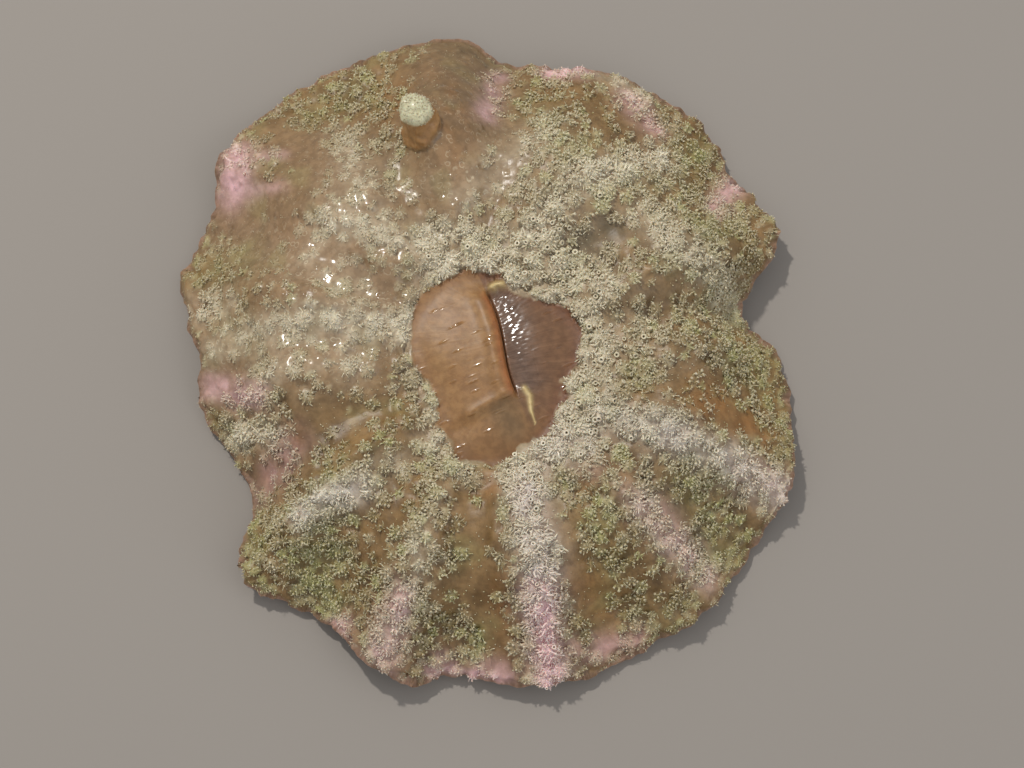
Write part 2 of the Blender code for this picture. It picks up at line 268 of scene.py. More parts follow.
def joined_copy(names, swell=0.0):
    """A merged mesh of the named solids, pushed out along its normals."""
    joined = bmesh.new()
    for name in names:
        joined.from_mesh(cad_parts[name].data)
    bmesh.ops.remove_doubles(joined, verts=joined.verts, dist=0.001 * MM)
    joined.normal_update()
    pushes = [vertex.normal * swell for vertex in joined.verts]
    for vertex, push in zip(joined.verts, pushes):
        vertex.co += push
    mesh = bpy.data.meshes.new("joined")
    joined.to_mesh(mesh)
    joined.free()
    return mesh


def evaluated_mesh(host, name):
    """The host's mesh after its modifiers, as a mesh of its own."""
    graph = bpy.context.evaluated_depsgraph_get()
    mesh = bpy.data.meshes.new_from_object(host.evaluated_get(graph), depsgraph=graph,
                                           preserve_all_data_layers=True)
    mesh.name = name
    return mesh


def points_of(mesh):
    places = np.empty(len(mesh.vertices) * 3)
    mesh.vertices.foreach_get("co", places)
    return places.reshape(-1, 3)


def normals_of(mesh):
    normals = np.empty(len(mesh.vertices) * 3)
    mesh.vertex_normals.foreach_get("vector", normals)
    return normals.reshape(-1, 3)


def set_points(mesh, places):
    mesh.vertices.foreach_set("co", places.ravel())
    mesh.update()


def relaxed(mesh, values, rounds, share=0.5):
    """Values at the vertices, each drawn towards the mean of its neighbours."""
    edges = np.empty(len(mesh.edges) * 2, dtype=np.int64)
    mesh.edges.foreach_get("vertices", edges)
    first, second = edges.reshape(-1, 2).T
    count = len(mesh.vertices)
    ties = np.bincount(first, minlength=count) + np.bincount(second, minlength=count)
    values = values.reshape(count, -1)
    for _ in range(rounds):
        total = np.stack([np.bincount(first, column[second], count)
                          + np.bincount(second, column[first], count)
                          for column in values.T], axis=1)
        values = values + share * (total / ties[:, None] - values)
    return values


host = add_object("skin_host", joined_copy(NODES, SWELL))
remesh = host.modifiers.new("remesh", "REMESH")
remesh.mode = "VOXEL"
remesh.voxel_size = VOXEL
skin_mesh = evaluated_mesh(host, "skin")
bpy.data.objects.remove(host)
raw = relaxed(skin_mesh, points_of(skin_mesh), RELAX_ROUNDS)
set_points(skin_mesh, raw)
set_points(skin_mesh, raw - normals_of(skin_mesh) * SWELL)
print("skin", len(skin_mesh.vertices), "points")

# %% [markdown]
# ## Regions
#
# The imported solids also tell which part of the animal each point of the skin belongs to:
# the nearest solid gives it. The middle is bare, the lobes' upper side carries tentacles,
# and the underside and the column are plain wall. Where the skin is bare its mesh is cut
# finer first, as it has no tentacles to hide behind.

# %% Nearest solids and finer bare skin
MIDDLE_MARGIN = 0.8 * MM
SLIT_ZONE = 2.4 * MM            # how far round the slit the skin is cut finer still
MIDDLE_ROUNDS = 60              # of relaxing, where the skin is bare


def tree_of(names):
    mesh = joined_copy(names)
    tree = BVHTree.FromPolygons([v.co for v in mesh.vertices],
                                [p.vertices for p in mesh.polygons])
    bpy.data.meshes.remove(mesh)
    return tree


def distances(tree, places):
    return np.array([tree.find_nearest(Vector(place))[3] for place in places])


TREES = {"lobes": tree_of(LOBES), "bare": tree_of(BARE), "wall": tree_of(WALL),
         "knob": tree_of(["knob"])}
lips = np.concatenate([points_of(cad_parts[name].data) for name in LIPS])[:, :2]
MOUTH = (lips.min(0) + lips.max(0)) / 2
ALONG = np.linalg.svd(lips - MOUTH, full_matrices=False)[2][0]
ALONG = ALONG * np.sign(ALONG[1])
ACROSS = np.array((ALONG[1], -ALONG[0]))
SLIT_HALF = float(((lips - MOUTH) @ ALONG).max())
print("mouth at", (MOUTH / MM).round(2), "half length", round(SLIT_HALF / MM, 2), "mm")


def refine(mesh, chosen):
    """Cuts the edges between chosen points in two."""
    work = bmesh.new()
    work.from_mesh(mesh)
    work.verts.ensure_lookup_table()
    cut = [edge for edge in work.edges if all(chosen[v.index] for v in edge.verts)]
    bmesh.ops.subdivide_edges(work, edges=cut, cuts=1, use_grid_fill=True)
    work.to_mesh(mesh)
    work.free()


def mouth_frame(places):
    """Each place's distance across the mouth's line, east positive, and along it."""
    flat = places[:, :2] - MOUTH
    return flat @ ACROSS, flat @ ALONG


places = points_of(skin_mesh)
above = normals_of(skin_mesh)[:, 2] > 0.0
gap_to_bare = distances(TREES["bare"], places)
refine(skin_mesh, above & (gap_to_bare < MIDDLE_MARGIN))
places = points_of(skin_mesh)
across, along = mouth_frame(places)
above = normals_of(skin_mesh)[:, 2] > 0.0
refine(skin_mesh, above & (abs(across) < SLIT_ZONE) & (abs(along) < SLIT_HALF + SLIT_ZONE))
places = points_of(skin_mesh)
softer = relaxed(skin_mesh, relaxed(skin_mesh, places, 2), MIDDLE_ROUNDS)
middle_share = np.clip(1.0 - distances(TREES["bare"], places) / MIDDLE_MARGIN, 0.0, 1.0)
middle_share *= normals_of(skin_mesh)[:, 2] > 0.0
middle_share = relaxed(skin_mesh, middle_share, 6)
set_points(skin_mesh, places + (softer - places) * middle_share)
print("skin after refining", len(skin_mesh.vertices), "points")

# %% [markdown]
# ## Fields
#
# A field is one number for each point of the skin, such as how far the point belongs to the
# bare middle. Most edges between two regions are soft steps, and the edge of the bare
# middle wanders with noise, because the first tentacles do not stand in a neat line.

# %% Fields that say where each point lies
EDGE_WANDER = ((2.4 * MM, 3.4 * MM, 30), (1.1 * MM, 1.3 * MM, 31))     # how far, size, seed


def ease(low, high, values):
    """A smooth step from 0 to 1 while the values go from low to high."""
    t = np.clip((values - low) / (high - low), 0.0, 1.0)
    return t * t * (3.0 - 2.0 * t)


def bell(values, width):
    """1 where the values are 0, falling away over a width on both sides."""
    return np.exp(-(values / width) ** 2)


def rough(places, size, seed=0.0):
    """Smooth noise from -1 to 1, with lumps of about a size."""
    shift = Vector((seed * 7.1, seed * 3.7, seed * 5.3))
    return np.array([noise.noise(Vector(place) / size + shift) for place in places])


places = points_of(skin_mesh)
normals = normals_of(skin_mesh)
near = {name: distances(tree, places) for name, tree in TREES.items()}
others = np.minimum(np.minimum(near["bare"], near["wall"]), near["knob"])
on_lobes = ease(-0.5 * MM, 0.5 * MM, others - near["lobes"])
wander = sum(far * rough(places, size, seed) for far, size, seed in EDGE_WANDER)
on_bare = ease(-0.3 * MM, 0.3 * MM, near["lobes"] - near["bare"] + wander)
on_bare *= (normals[:, 2] > 0.0)
on_knob = ease(-0.6 * MM, 0.6 * MM, near["lobes"] - near["knob"])
underside = ease(0.10, -0.25, normals[:, 2]) * (1.0 - on_knob)
upper = np.maximum(on_lobes - on_bare, 0.0) * (1.0 - underside)
flat = places[:, :2] - AXIS
reach = np.hypot(*flat.T)
turn = np.degrees(np.arctan2(flat[:, 1], flat[:, 0])) % 360.0
bins = turn.astype(int)
rim_by_degree = np.array([reach[bins == degree].max() for degree in range(360)])
to_rim = rim_by_degree[bins] - reach
print("rim reach", (rim_by_degree.min() / MM).round(1), "to",
      (rim_by_degree.max() / MM).round(1), "mm")

# %% [markdown]
# ## Markings and crowding
#
# Tentacles stand in bands that run out from the middle, pale where they crowd and olive in
# the folds between. One table tells where, in degrees round the column and millimetres out
# from it, in the way a field sketch would. Skin and tentacles both read these fields, so
# that they carry the same markings.

# %% The sketch of bands and patches
# rows of from (degrees, mm), to (degrees, mm), half width in mm, amount
SKETCH = {
    # pale crowded ridges
    "pale": (
        ((287, 18), (284, 31), 3.2, 1.0), ((284, 31), (281, 50), 2.8, 0.9),
        ((306, 17), (316, 20), 3.4, 0.8), ((327, 15), (334, 28), 2.6, 0.9),
        ((334, 28), (337, 42), 2.6, 0.9), ((337, 42), (336, 51), 2.8, 0.9),
        ((315, 32), (315, 45), 2.6, 0.7), ((221, 37), (227, 29), 2.2, 1.0),
        ((227, 29), (238, 16), 2.0, 0.6), ((176, 42), (172, 28), 2.6, 0.7),
        ((172, 28), (163, 13), 2.8, 0.9), ((256, 18), (252, 32), 2.2, 0.35),
        ((252, 32), (250, 50), 3.0, 0.7), ((141, 31), (117, 17), 3.6, 0.7),
        ((117, 18), (72, 16), 3.2, 0.8), ((72, 17), (35, 18), 3.6, 0.8),
        ((35, 18), (5, 17), 3.2, 0.6), ((5, 17), (340, 17), 3.0, 0.7),
        ((340, 17), (306, 18), 2.6, 0.7), ((26, 22), (354, 26), 3.0, 0.25),
        ((195, 40), (200, 35), 2.4, 0.9), ((97, 24), (77, 36), 3.0, 0.5),
        ((58, 32), (50, 42), 2.8, 0.9), ((41, 32), (17, 38), 3.2, 0.65),
        ((66, 22), (60, 30), 3.0, 0.6), ((122, 42), (127, 30), 3.0, 0.5),
        ((150, 30), (156, 22), 3.0, 0.5), ((71, 51), (61, 50), 1.8, 1.0),
        ((168, 47), (168, 42), 2.6, 1.0), ((186, 20), (186, 34), 3.6, 0.65),
    ),
    # milky lilac on the crests of the southern ridges
    "lilac": (
        ((286, 22), (283, 38), 3.0, 0.8), ((335, 30), (336, 50), 2.8, 0.6),
        ((221, 37), (227, 29), 2.2, 0.7), ((306, 17), (316, 20), 3.4, 0.5),
        ((330, 20), (335, 30), 2.4, 0.5),
    ),
    # pink, mostly at the rim
    "rose": (
        ((282, 38), (281, 50), 2.8, 1.0), ((315, 34), (316, 46), 2.6, 0.4),
        ((250, 40), (251, 50), 2.8, 0.6), ((272, 48), (262, 47), 2.2, 0.8),
        ((145, 49), (139, 52), 2.6, 1.0), ((144, 46), (140, 42), 1.3, 0.3),
        ((137, 49), (134, 46), 1.2, 0.35), ((286, 20), (283, 38), 3.0, 0.12),
        ((311, 24), (316, 34), 2.6, 0.12), ((79, 49), (73, 50), 1.6, 0.9),
        ((63, 48), (55, 46), 2.0, 0.6), ((38, 49), (36, 44), 2.0, 0.7),
        ((184, 43), (190, 36), 1.8, 0.8), ((243, 50), (240, 46), 1.8, 0.9),
        ((337, 44), (337, 52), 3.0, 0.3), ((88, 47), (90, 38), 1.6, 0.5),
        ((208, 40), (205, 33), 3.0, 0.3), ((288, 46), (298, 47), 2.0, 0.4),
    ),
    # yellow-green tufts
    "lime": (
        ((157, 41), (160, 46), 3.6, 0.7), ((171, 41), (176, 36), 2.6, 0.6),
        ((220, 29), (226, 38), 3.2, 0.8), ((229, 40), (236, 43), 3.2, 0.8),
        ((268, 41), (267, 45), 1.6, 0.9), ((51, 45), (45, 42), 3.0, 0.6),
        ((35, 44), (30, 40), 3.2, 0.7), ((17, 36), (10, 42), 3.0, 0.6),
        ((303, 30), (298, 38), 3.0, 0.6), ((328, 36), (322, 46), 4.0, 0.7),
        ((3, 38), (355, 45), 3.2, 0.6), ((212, 42), (218, 47), 3.0, 0.7),
        ((114, 49), (124, 50), 3.0, 0.6), ((340, 46), (346, 48), 2.4, 0.5),
        ((292, 43), (305, 48), 2.6, 0.5), ((75, 38), (82, 42), 2.6, 0.5),
    ),
    # orange-brown patches
    "rust": (
        ((348, 33), (345, 44), 3.4, 0.8), ((294, 37), (296, 46), 3.4, 0.8),
        ((50, 42), (56, 40), 2.6, 0.6), ((108, 46), (112, 42), 2.4, 0.6),
        ((185, 20), (187, 30), 3.6, 0.3), ((206, 38), (203, 33), 2.4, 1.0),
        ((140, 24), (146, 34), 3.4, 0.5), ((8, 40), (352, 46), 2.6, 0.6),
        ((272, 36), (275, 44), 2.2, 0.6), ((270, 18), (270, 21), 1.6, 0.9),
        ((165, 46), (160, 48), 2.0, 0.5), ((99, 30), (97, 46), 4.0, 0.9),
        ((168, 47), (168, 43), 2.2, 0.9),
    ),
    # smooth folds with few tentacles
    "sparse": (
        ((190, 18), (188, 30), 3.4, 0.35), ((205, 24), (205, 40), 3.2, 0.8),
        ((212, 18), (215, 28), 2.4, 0.4), ((157, 30), (155, 40), 2.8, 0.7),
        ((140, 40), (146, 48), 3.4, 1.0), ((132, 38), (130, 48), 3.0, 0.7),
        ((104, 27), (101, 36), 5.0, 1.0), ((99, 36), (96, 50), 7.0, 1.0),
        ((71, 51), (62, 51), 1.8, 1.0), ((238, 25), (240, 34), 2.8, 0.7),
        ((267, 19), (266, 36), 2.8, 0.8), ((268, 34), (272, 46), 2.4, 0.9),
        ((291, 26), (294, 44), 3.0, 0.8), ((350, 31), (345, 40), 3.6, 0.8),
        ((320, 36), (326, 40), 2.4, 0.5), ((22, 26), (20, 30), 2.6, 0.8),
        ((50, 22), (46, 26), 2.4, 1.0), ((38, 31), (36, 33), 1.8, 0.8),
        ((60, 42), (66, 44), 3.0, 0.7), ((182, 38), (184, 43), 2.6, 0.7),
        ((302, 36), (308, 42), 2.0, 0.5), ((80, 28), (84, 40), 2.2, 0.6),
        ((168, 47), (168, 43), 2.6, 1.0),
    ),
    # a film of water that lays the tentacles flat
    "film": (
        ((150, 18), (150, 46), 9.0, 1.0), ((174, 20), (178, 42), 6.5, 0.9),
        ((128, 28), (130, 46), 6.0, 0.8), ((98, 28), (97, 46), 8.0, 1.0),
    ),
    # dusky grey-brown hollows
    "dusk": (
        ((50, 22), (46, 26), 2.6, 1.0), ((205, 30), (206, 42), 3.6, 0.4),
        ((30, 30), (28, 40), 3.0, 0.5), ((320, 30), (322, 38), 3.0, 0.4),
        ((99, 36), (95, 50), 7.0, 0.6), ((2, 28), (358, 37), 3.0, 0.4),
    ),
}


def spot(degrees_round, mm_out):
    angle = radians(degrees_round)
    return AXIS + mm_out * MM * np.array((cos(angle), sin(angle)))


def way_off(places, start, end):
    """The way, seen from above, to each place from the nearest point of a line."""
    way = end - start
    share = np.clip((places[:, :2] - start) @ way / (way @ way), 0.0, 1.0)
    return places[:, :2] - start - share[:, None] * way


def streak(places, start, end, half_width):
    """1 on the line between two spots, fading to 0 past its half width, and the way off it."""
    away = way_off(places, spot(*start), spot(*end)) / (half_width * MM)
    return bell(np.hypot(*away.T), 1.0), away


fields = {name: np.zeros(len(places)) for name in SKETCH}
comb = np.zeros((len(places), 3))
for name, rows in SKETCH.items():
    for start, end, half_width, amount in rows:
        strength, away = streak(places, start, end, half_width)
        fields[name] = 1.0 - (1.0 - fields[name]) * (1.0 - amount * strength)
        if name == "pale":
            comb[:, :2] += amount * strength[:, None] * away
print(sum(len(rows) for rows in SKETCH.values()), "streaks in", len(SKETCH), "fields")

# %% [markdown]
# ## Broken edges and crowding
#
# A sketch alone looks painted on, so noise breaks up each marking. Pale tentacles also
# stand in a collar about the bare middle and over the northern slope. The tentacles crowd
# on the pale ridges and thin out in the folds, which the crowding adds up.

# %% Breaking up the markings
PATCH_SIZE, FINE_PATCH_SIZE = 4.0 * MM, 1.8 * MM
BREAK_SIZE = 3.0 * MM
BREAK_SEEDS = {"pale": 3, "rose": 4, "lime": 5, "rust": 6, "dusk": 7, "lilac": 9}
LIME_SPOTS, LIME_SEED = 5.0 * MM, 8
NORTH_PALE, COLLAR_PALE = 0.22, 0.38
PLAIN_CROWD, LEAST_CROWD = 0.54, 0.04


def clear_bare_middle():
    """Fades all the markings where the skin is bare."""
    for name in fields:
        fields[name] *= 1.0 - on_bare


patchy = rough(places, PATCH_SIZE, 1.0)
fine_patchy = rough(places, FINE_PATCH_SIZE, 2.0)
for name, seed in BREAK_SEEDS.items():
    broken = 0.85 + 0.6 * rough(places, BREAK_SIZE, seed) + 0.35 * fine_patchy
    fields[name] = np.clip(fields[name] * broken, 0.0, 1.0)
lime_spots = ease(0.15, 0.5, rough(places, LIME_SPOTS, LIME_SEED))
fields["lime"] = np.clip(fields["lime"] + 0.5 * lime_spots, 0.0, 1.0)
clear_bare_middle()
north = ease(-9.0 * MM, 26.0 * MM, flat[:, 1]) * ease(46.0 * MM, 30.0 * MM, reach)
collar = ease(5.0 * MM, 0.5 * MM, near["bare"])
added = (NORTH_PALE * north + COLLAR_PALE * collar) * (1.0 + patchy)
fields["pale"] += added * (1.0 - 0.4 * fields["film"])
fields["pale"] = np.clip(fields["pale"], 0.0, 1.0)
clear_bare_middle()             # again, so that what was added fades too
crowd = PLAIN_CROWD + 0.55 * fields["pale"] + 0.25 * fields["lime"] - 0.9 * fields["sparse"]
crowd += 0.3 * collar - 0.42 * fields["film"] + 0.70 * patchy + 0.35 * fine_patchy
crowd = np.clip(crowd, LEAST_CROWD, 1.0) * ease(0.08, 0.4, upper)
print("mean crowding", crowd[upper > 0.5].mean().round(2))

# %% [markdown]
# ## Tufts
#
# The tentacles do not stand evenly. They gather in round tufts one to four millimetres
# across, each a little dome with its tentacles fanned out. Tuft centres are thrown at
# random and kept only where they do not crowd one already there. Every skin point then
# knows its nearest tuft, how far out in it the point lies, and which way a tentacle leans.

# %% Throwing the tufts
TUFT_LEAST, TUFT_MOST = 0.75 * MM, 1.55 * MM
TUFT_GAP, TUFT_CLOSENESS = 1.28, 0.48      # spacing in radii, and how crowding shortens it
TUFT_CHANCE = 1.3                          # chance of a tuft, as a multiple of crowding
MOST_TUFTS = 4000
PLACES_AT_ONCE = 2000
TUFT_SEED = 5
chooser = np.random.default_rng(TUFT_SEED)


def throw_tufts():
    """Centres and radii of tufts on the upper skin."""
    tries = np.flatnonzero(crowd > 0.05)
    chooser.shuffle(tries)
    sizes = chooser.uniform(TUFT_LEAST, TUFT_MOST, len(tries))
    luck = chooser.uniform(0.0, 1.0, len(tries))
    centres, radii = np.zeros((MOST_TUFTS, 3)), np.zeros(MOST_TUFTS)
    count = 0
    for index, size, chance in zip(tries, sizes, luck):
        if chance > crowd[index] * TUFT_CHANCE:
            continue
        size *= 0.6 + 0.35 * crowd[index] + 0.3 * fields["pale"][index]
        gaps = np.sqrt(((centres[:count] - places[index]) ** 2).sum(1))
        spacing = TUFT_GAP - TUFT_CLOSENESS * crowd[index]
        if count < MOST_TUFTS and (gaps > spacing * (radii[:count] + size)).all():
            centres[count], radii[count] = places[index], size
            count += 1
    return centres[:count], radii[:count]


def nearest_tuft(places, centres, radii):
    """The index of each place's nearest tuft, by the share of its radius."""
    found = np.empty(len(places), dtype=np.int64)
    for start in range(0, len(places), PLACES_AT_ONCE):
        block = slice(start, start + PLACES_AT_ONCE)
        gaps = ((places[block, None] - centres[None]) ** 2).sum(2) / radii ** 2
        found[block] = gaps.argmin(1)
    return found


tuft_centres, tuft_radii = throw_tufts()
tuft = nearest_tuft(places, tuft_centres, tuft_radii)
lean = (places - tuft_centres[tuft]) / tuft_radii[tuft][:, None]
tuft_gap = np.sqrt((lean ** 2).sum(1))
tuft_luck = chooser.uniform(0.0, 1.0, len(tuft_centres))[tuft]
lean /= np.maximum(tuft_gap, 1.0)[:, None]
inside_tuft = ease(1.08, 0.85, tuft_gap + 0.3 * fine_patchy) * ease(0.2, 0.6, upper)
dome = np.sqrt(np.clip(1.0 - tuft_gap ** 2, 0.0, 1.0)) * upper
print(len(tuft_centres), "tufts, covering", inside_tuft[upper > 0.5].mean().round(2))

# %% [markdown]
# ## Sculpting the flesh
#
# The skin lies inside the tentacles, so it is drawn back by their depth, most where they
# crowd. The mouth is a slit whose western lip rolls over the eastern one. Its place is
# measured across and along the lips. Lines of muscle leave the slit at right angles and
# fan out like rays, which is how confocal coordinates run about a short line.

# %% Rays from the mouth
def rays(places):
    """The confocal direction (as a cosine and a sine) and spread about the mouth's slit."""
    across, along = mouth_frame(places)
    curve = np.arccosh((along + 1j * across + 1e-9j) / SLIT_HALF + 0j)
    return np.stack([np.cos(curve.imag), np.sin(curve.imag), curve.real], axis=1)


ray = rays(places)
across, along = mouth_frame(places)
print("rays spread to", ray[:, 2].max().round(2))

# %% The depth of the coat, folds and lumps
COAT_LEAST = 0.4 * MM
COAT_CROWDED = 1.1 * MM
DOME = 0.55                     # height of a tuft's dome, as a share of its radius
RIDGE, VALLEY = 0.7 * MM, 0.8 * MM
RAY_LUMPS, FLESH_LUMPS, WALL_FLUTES = 0.30 * MM, 0.18 * MM, 0.12 * MM
BANK, KNOB_LUMPS = 0.60, 0.35   # in mm: the swelling about the bare middle, the knob's lumps

smooth_share = ease(0.3, 0.8, fields["sparse"])[:, None]
places += (relaxed(skin_mesh, places, 40) - places) * smooth_share
push = -(COAT_LEAST + COAT_CROWDED * ease(0.0, 1.0, crowd)) * ease(0.2, 0.8, upper)
push += DOME * dome * tuft_radii[tuft] * (1.0 - 0.6 * fields["film"]) * (1.0 + 0.7 * collar)
push += (RIDGE * fields["pale"] - VALLEY * fields["sparse"]) * upper
push += RAY_LUMPS * upper * rough(ray * (7.0, 7.0, 1.2), 1.0, 11)
push += FLESH_LUMPS * (upper - fields["film"]) * rough(places, 2.2 * MM, 12)
bank = (BANK + BANK * rough(places, 2.6 * MM, 19)) * MM
push += bank * upper * ease(3.2 * MM, 1.4 * MM, near["bare"])
knob_lumps = KNOB_LUMPS * rough(places, 1.5 * MM, 13)
knob_lumps += KNOB_LUMPS * abs(rough(places, 0.9 * MM, 18))
push += knob_lumps * MM * on_knob
push += WALL_FLUTES * underside * rough(ray * (16.0, 16.0, 0.5), 1.0, 14)
print("drawn back by up to", (-push.min() / MM).round(2), "mm")

# %% [markdown]
# ## The mouth
#
# The western lip stands up and rolls over the slit, and the eastern side lies lower. A low
# fold runs up to the slit's southern end from the south-west. A yolk-coloured nodule lies
# by its northern end, and a thin welt of the same colour beside its southern end. Each is a
# sum of soft steps and bells of the distance from a line, so that they melt into one skin.

# %% The mouth, its lips and the folds beside it
LIP_SWAY = 0.40 * MM            # how far the slit bends to either side
LIP_RISE, LIP_ROLL = 0.35 * MM, 0.25 * MM
EAST_DROP, EAST_WIDTH = 1.4 * MM, 6.0 * MM
SLIT_DEPTH, SLIT_WIDTH = 0.7 * MM, 0.2 * MM
FOLD_FROM, FOLD_TO = (AXIS + np.array(place) * MM for place in ((-2.6, -9.6), (4.9, -5.7)))
FOLD_STEP, FOLD_CREST = 0.60 * MM, 0.30 * MM
# spots of the nodule and the welt, in mm from the axis
NODULE = ((0.5, 10.1), (1.4, 10.6), (2.2, 10.6))
WELT = ((5.5, -5.4), (6.25, -6.5), (6.4, -8.7), (7.1, -10.7))
NODULE_RISE, WELT_RISE = 0.7 * MM, 0.35 * MM
RAY_RIPPLE = 0.015 * MM


def segment_distance(places, start, end):
    return np.hypot(*way_off(places, start, end).T)


def path_distance(places, spots):
    """Distance from a bent line through spots given in mm from the axis."""
    ends = [AXIS + np.array(place) * MM for place in spots]
    return np.min([segment_distance(places, a, b) for a, b in zip(ends, ends[1:])], axis=0)


beside = across - LIP_SWAY * np.sin(pi * along / SLIT_HALF)
within = ease(SLIT_HALF - 0.3 * MM, SLIT_HALF - 2.3 * MM, abs(along - 0.7 * MM)) * on_bare
lift = LIP_RISE * bell(beside + 1.7 * MM, 1.1 * MM)
near_slit = np.clip(1.0 - beside / EAST_WIDTH, 0.0, 1.0) ** 2
lift -= EAST_DROP * ease(-0.6 * MM, 0.15 * MM, beside) * near_slit
lift -= SLIT_DEPTH * bell(beside - 0.05 * MM, SLIT_WIDTH)
lift *= within
roll = LIP_ROLL * bell(beside + 0.3 * MM, 0.35 * MM) * within

fold_way = (FOLD_TO - FOLD_FROM) / np.linalg.norm(FOLD_TO - FOLD_FROM)
below_fold = -((places[:, :2] - FOLD_FROM) @ np.array((-fold_way[1], fold_way[0])))
along_fold = segment_distance(places, FOLD_FROM, FOLD_TO)
lift -= (FOLD_STEP * ease(-0.6 * MM, 1.1 * MM, below_fold) * bell(along_fold, 3.6 * MM)
         * on_bare)
lift += FOLD_CREST * bell(along_fold, 0.9 * MM) * on_bare

nodule = path_distance(places, NODULE) + 0.25 * MM * rough(places, 0.8 * MM, 21)
welt = path_distance(places, WELT)
taper = 0.34 * MM * ease(-11.5 * MM, -6.5 * MM, places[:, 1] - AXIS[1]) + 0.06 * MM
lift += (NODULE_RISE * bell(nodule, 0.55 * MM) + WELT_RISE * bell(welt, taper)) * on_bare
yolk = np.clip(bell(nodule, 0.6 * MM) + bell(welt, 1.15 * taper), 0.0, 1.0) * on_bare
lift += RAY_RIPPLE * on_bare * rough(ray * (9.0, 9.0, 0.6), 1.0, 15)
print("lift from", (lift.min() / MM).round(2), "to", (lift.max() / MM).round(2), "mm")

# %% [markdown]
# ## The frilled rim
#
# The edge of the disc is never a clean curve, so noise of two sizes moves it in and out.
# Once the skin stands where it should, every field is kept on it as an attribute, where
# the materials and the Geometry Nodes can read it.

# %% Moving the skin and keeping its fields
FRILL_WIDTH = 6.0 * MM
CAP_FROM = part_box("knob")[1][2] - 2.3 * MM     # height where the knob's pale cap begins
# the line of the hollow below the mouth's fold, where shade is painted darker
SHADE_BELOW_FOLD_LINE = ((2.2, -8.6), (3.6, -11.0))           # in mm from the axis

moved = places + normals * push[:, None]
moved[:, 2] += lift
frill = ease(FRILL_WIDTH, 0.5 * MM, to_rim) * (1.0 - on_knob) * (1.0 - 0.8 * fields["sparse"])
outward = np.column_stack([np.cos(np.radians(turn)), np.sin(np.radians(turn))])
frill_out = 0.75 * rough(moved, 3.2 * MM, 16) + 0.5 * rough(moved, 1.4 * MM, 17) + 0.1
frill_out *= frill * MM
moved[:, :2] += frill_out[:, None] * outward
moved[:, :2] += roll[:, None] * ACROSS
moved[:, 2] = np.maximum(moved[:, 2], 0.0)
set_points(skin_mesh, moved)


def store(mesh, name, values):
    """Keeps a field on the mesh's points, as numbers or as vectors."""
    kind = "FLOAT" if values.ndim == 1 else "FLOAT_VECTOR"
    layer = mesh.attributes.new(name, kind, "POINT")
    layer.data.foreach_set("value" if values.ndim == 1 else "vector", values.ravel())


# a dark red band along the bare middle's edge: red pigment, with painted shade under the
# overhanging tufts
red_edge_and_shade = ease(3.0 * MM, 0.0, near["lobes"]) * on_bare * (0.35 + 0.65 * (across > 0.0))
# painted shade: the hollow below the mouth's fold is coloured a darker brown
shade_below_fold = bell(path_distance(places, SHADE_BELOW_FOLD_LINE), 2.6 * MM)
shade_below_fold *= on_bare * ease(-0.6 * MM, 0.4 * MM, below_fold)
short = np.clip(0.35 * bell(to_rim, 3.0 * MM) + 0.3 * fields["film"], 0.0, 0.7)
short = np.maximum(short, 0.45 * ease(1.3 * MM, 0.3 * MM, near["bare"]))
grown = np.clip(inside_tuft * (0.55 + 0.45 * crowd), 0.0, 1.0)
on_cap = on_knob * ease(CAP_FROM, CAP_FROM + 1.0 * MM, moved[:, 2])
grown = np.maximum(grown, 0.8 * on_cap)
fields["lime"] = np.maximum(fields["lime"], 0.5 * on_cap)
fields["pale"] = np.maximum(fields["pale"], 0.5 * on_cap)
short = np.maximum(short, 0.45 * on_cap)
for name, values in dict(fields, crowd=grown, lean=lean, tuft=tuft_luck, comb=comb,
                         slit=bell(beside - 2.2 * MM, 2.6 * MM) * within * (beside > 0.0),
                         bare=on_bare, under=underside, knob=on_knob, short=short,
                         east=ease(-0.2 * MM, 0.3 * MM, beside), yolk=yolk, ray=ray,
                         edge=red_edge_and_shade, shade_below_fold=shade_below_fold, ground=upper).items():
    store(skin_mesh, name, values)
print("sculpted; the slit sinks to", (moved[on_bare > 0.5, 2].min() / MM).round(1), "mm")

# %% [markdown]
# ## Tentacles
#
# There are five kinds. Most are tiny knobbed buds that crowd together in round tufts, with
# slender strands between them and a few low dots over the whole upper side. Wider tubes,
# open at the tip like a ring, stand about the bare middle, and longer curved fingers lie on
# the pale ridges. Each kind is one small turned mesh of a few dozen faces at most, because
# so many copies of it are set on the skin.

# %% Small turned shapes to copy
# rows of (radius, height, tipward); tipward past 1 leads down into the pore
BUD = ((0.90, -0.15, 0.0), (0.72, 0.50, 0.5), (1.0, 0.88, 0.95), (0.62, 1.0, 1.1))
RING = ((0.95, -0.12, 0.0), (0.80, 0.40, 0.35), (1.0, 0.80, 0.75),
        (1.10, 0.95, 0.95), (0.84, 1.0, 1.0), (0.50, 0.90, 1.4), (0.32, 0.66, 1.7))
STRAND = ((1.0, -0.15, 0.0), (0.85, 0.5, 0.5), (0.7, 1.0, 1.0))
FINGER = ((1.0, -0.1, 0.0), (0.95, 0.25, 0.25), (0.82, 0.5, 0.5), (0.66, 0.75, 0.75),
          (0.40, 0.94, 1.0))
TOP_RISE, PORE_DROP, PORE_TIP = 0.06, 0.10, 1.8     # the point that closes a top, or a pore


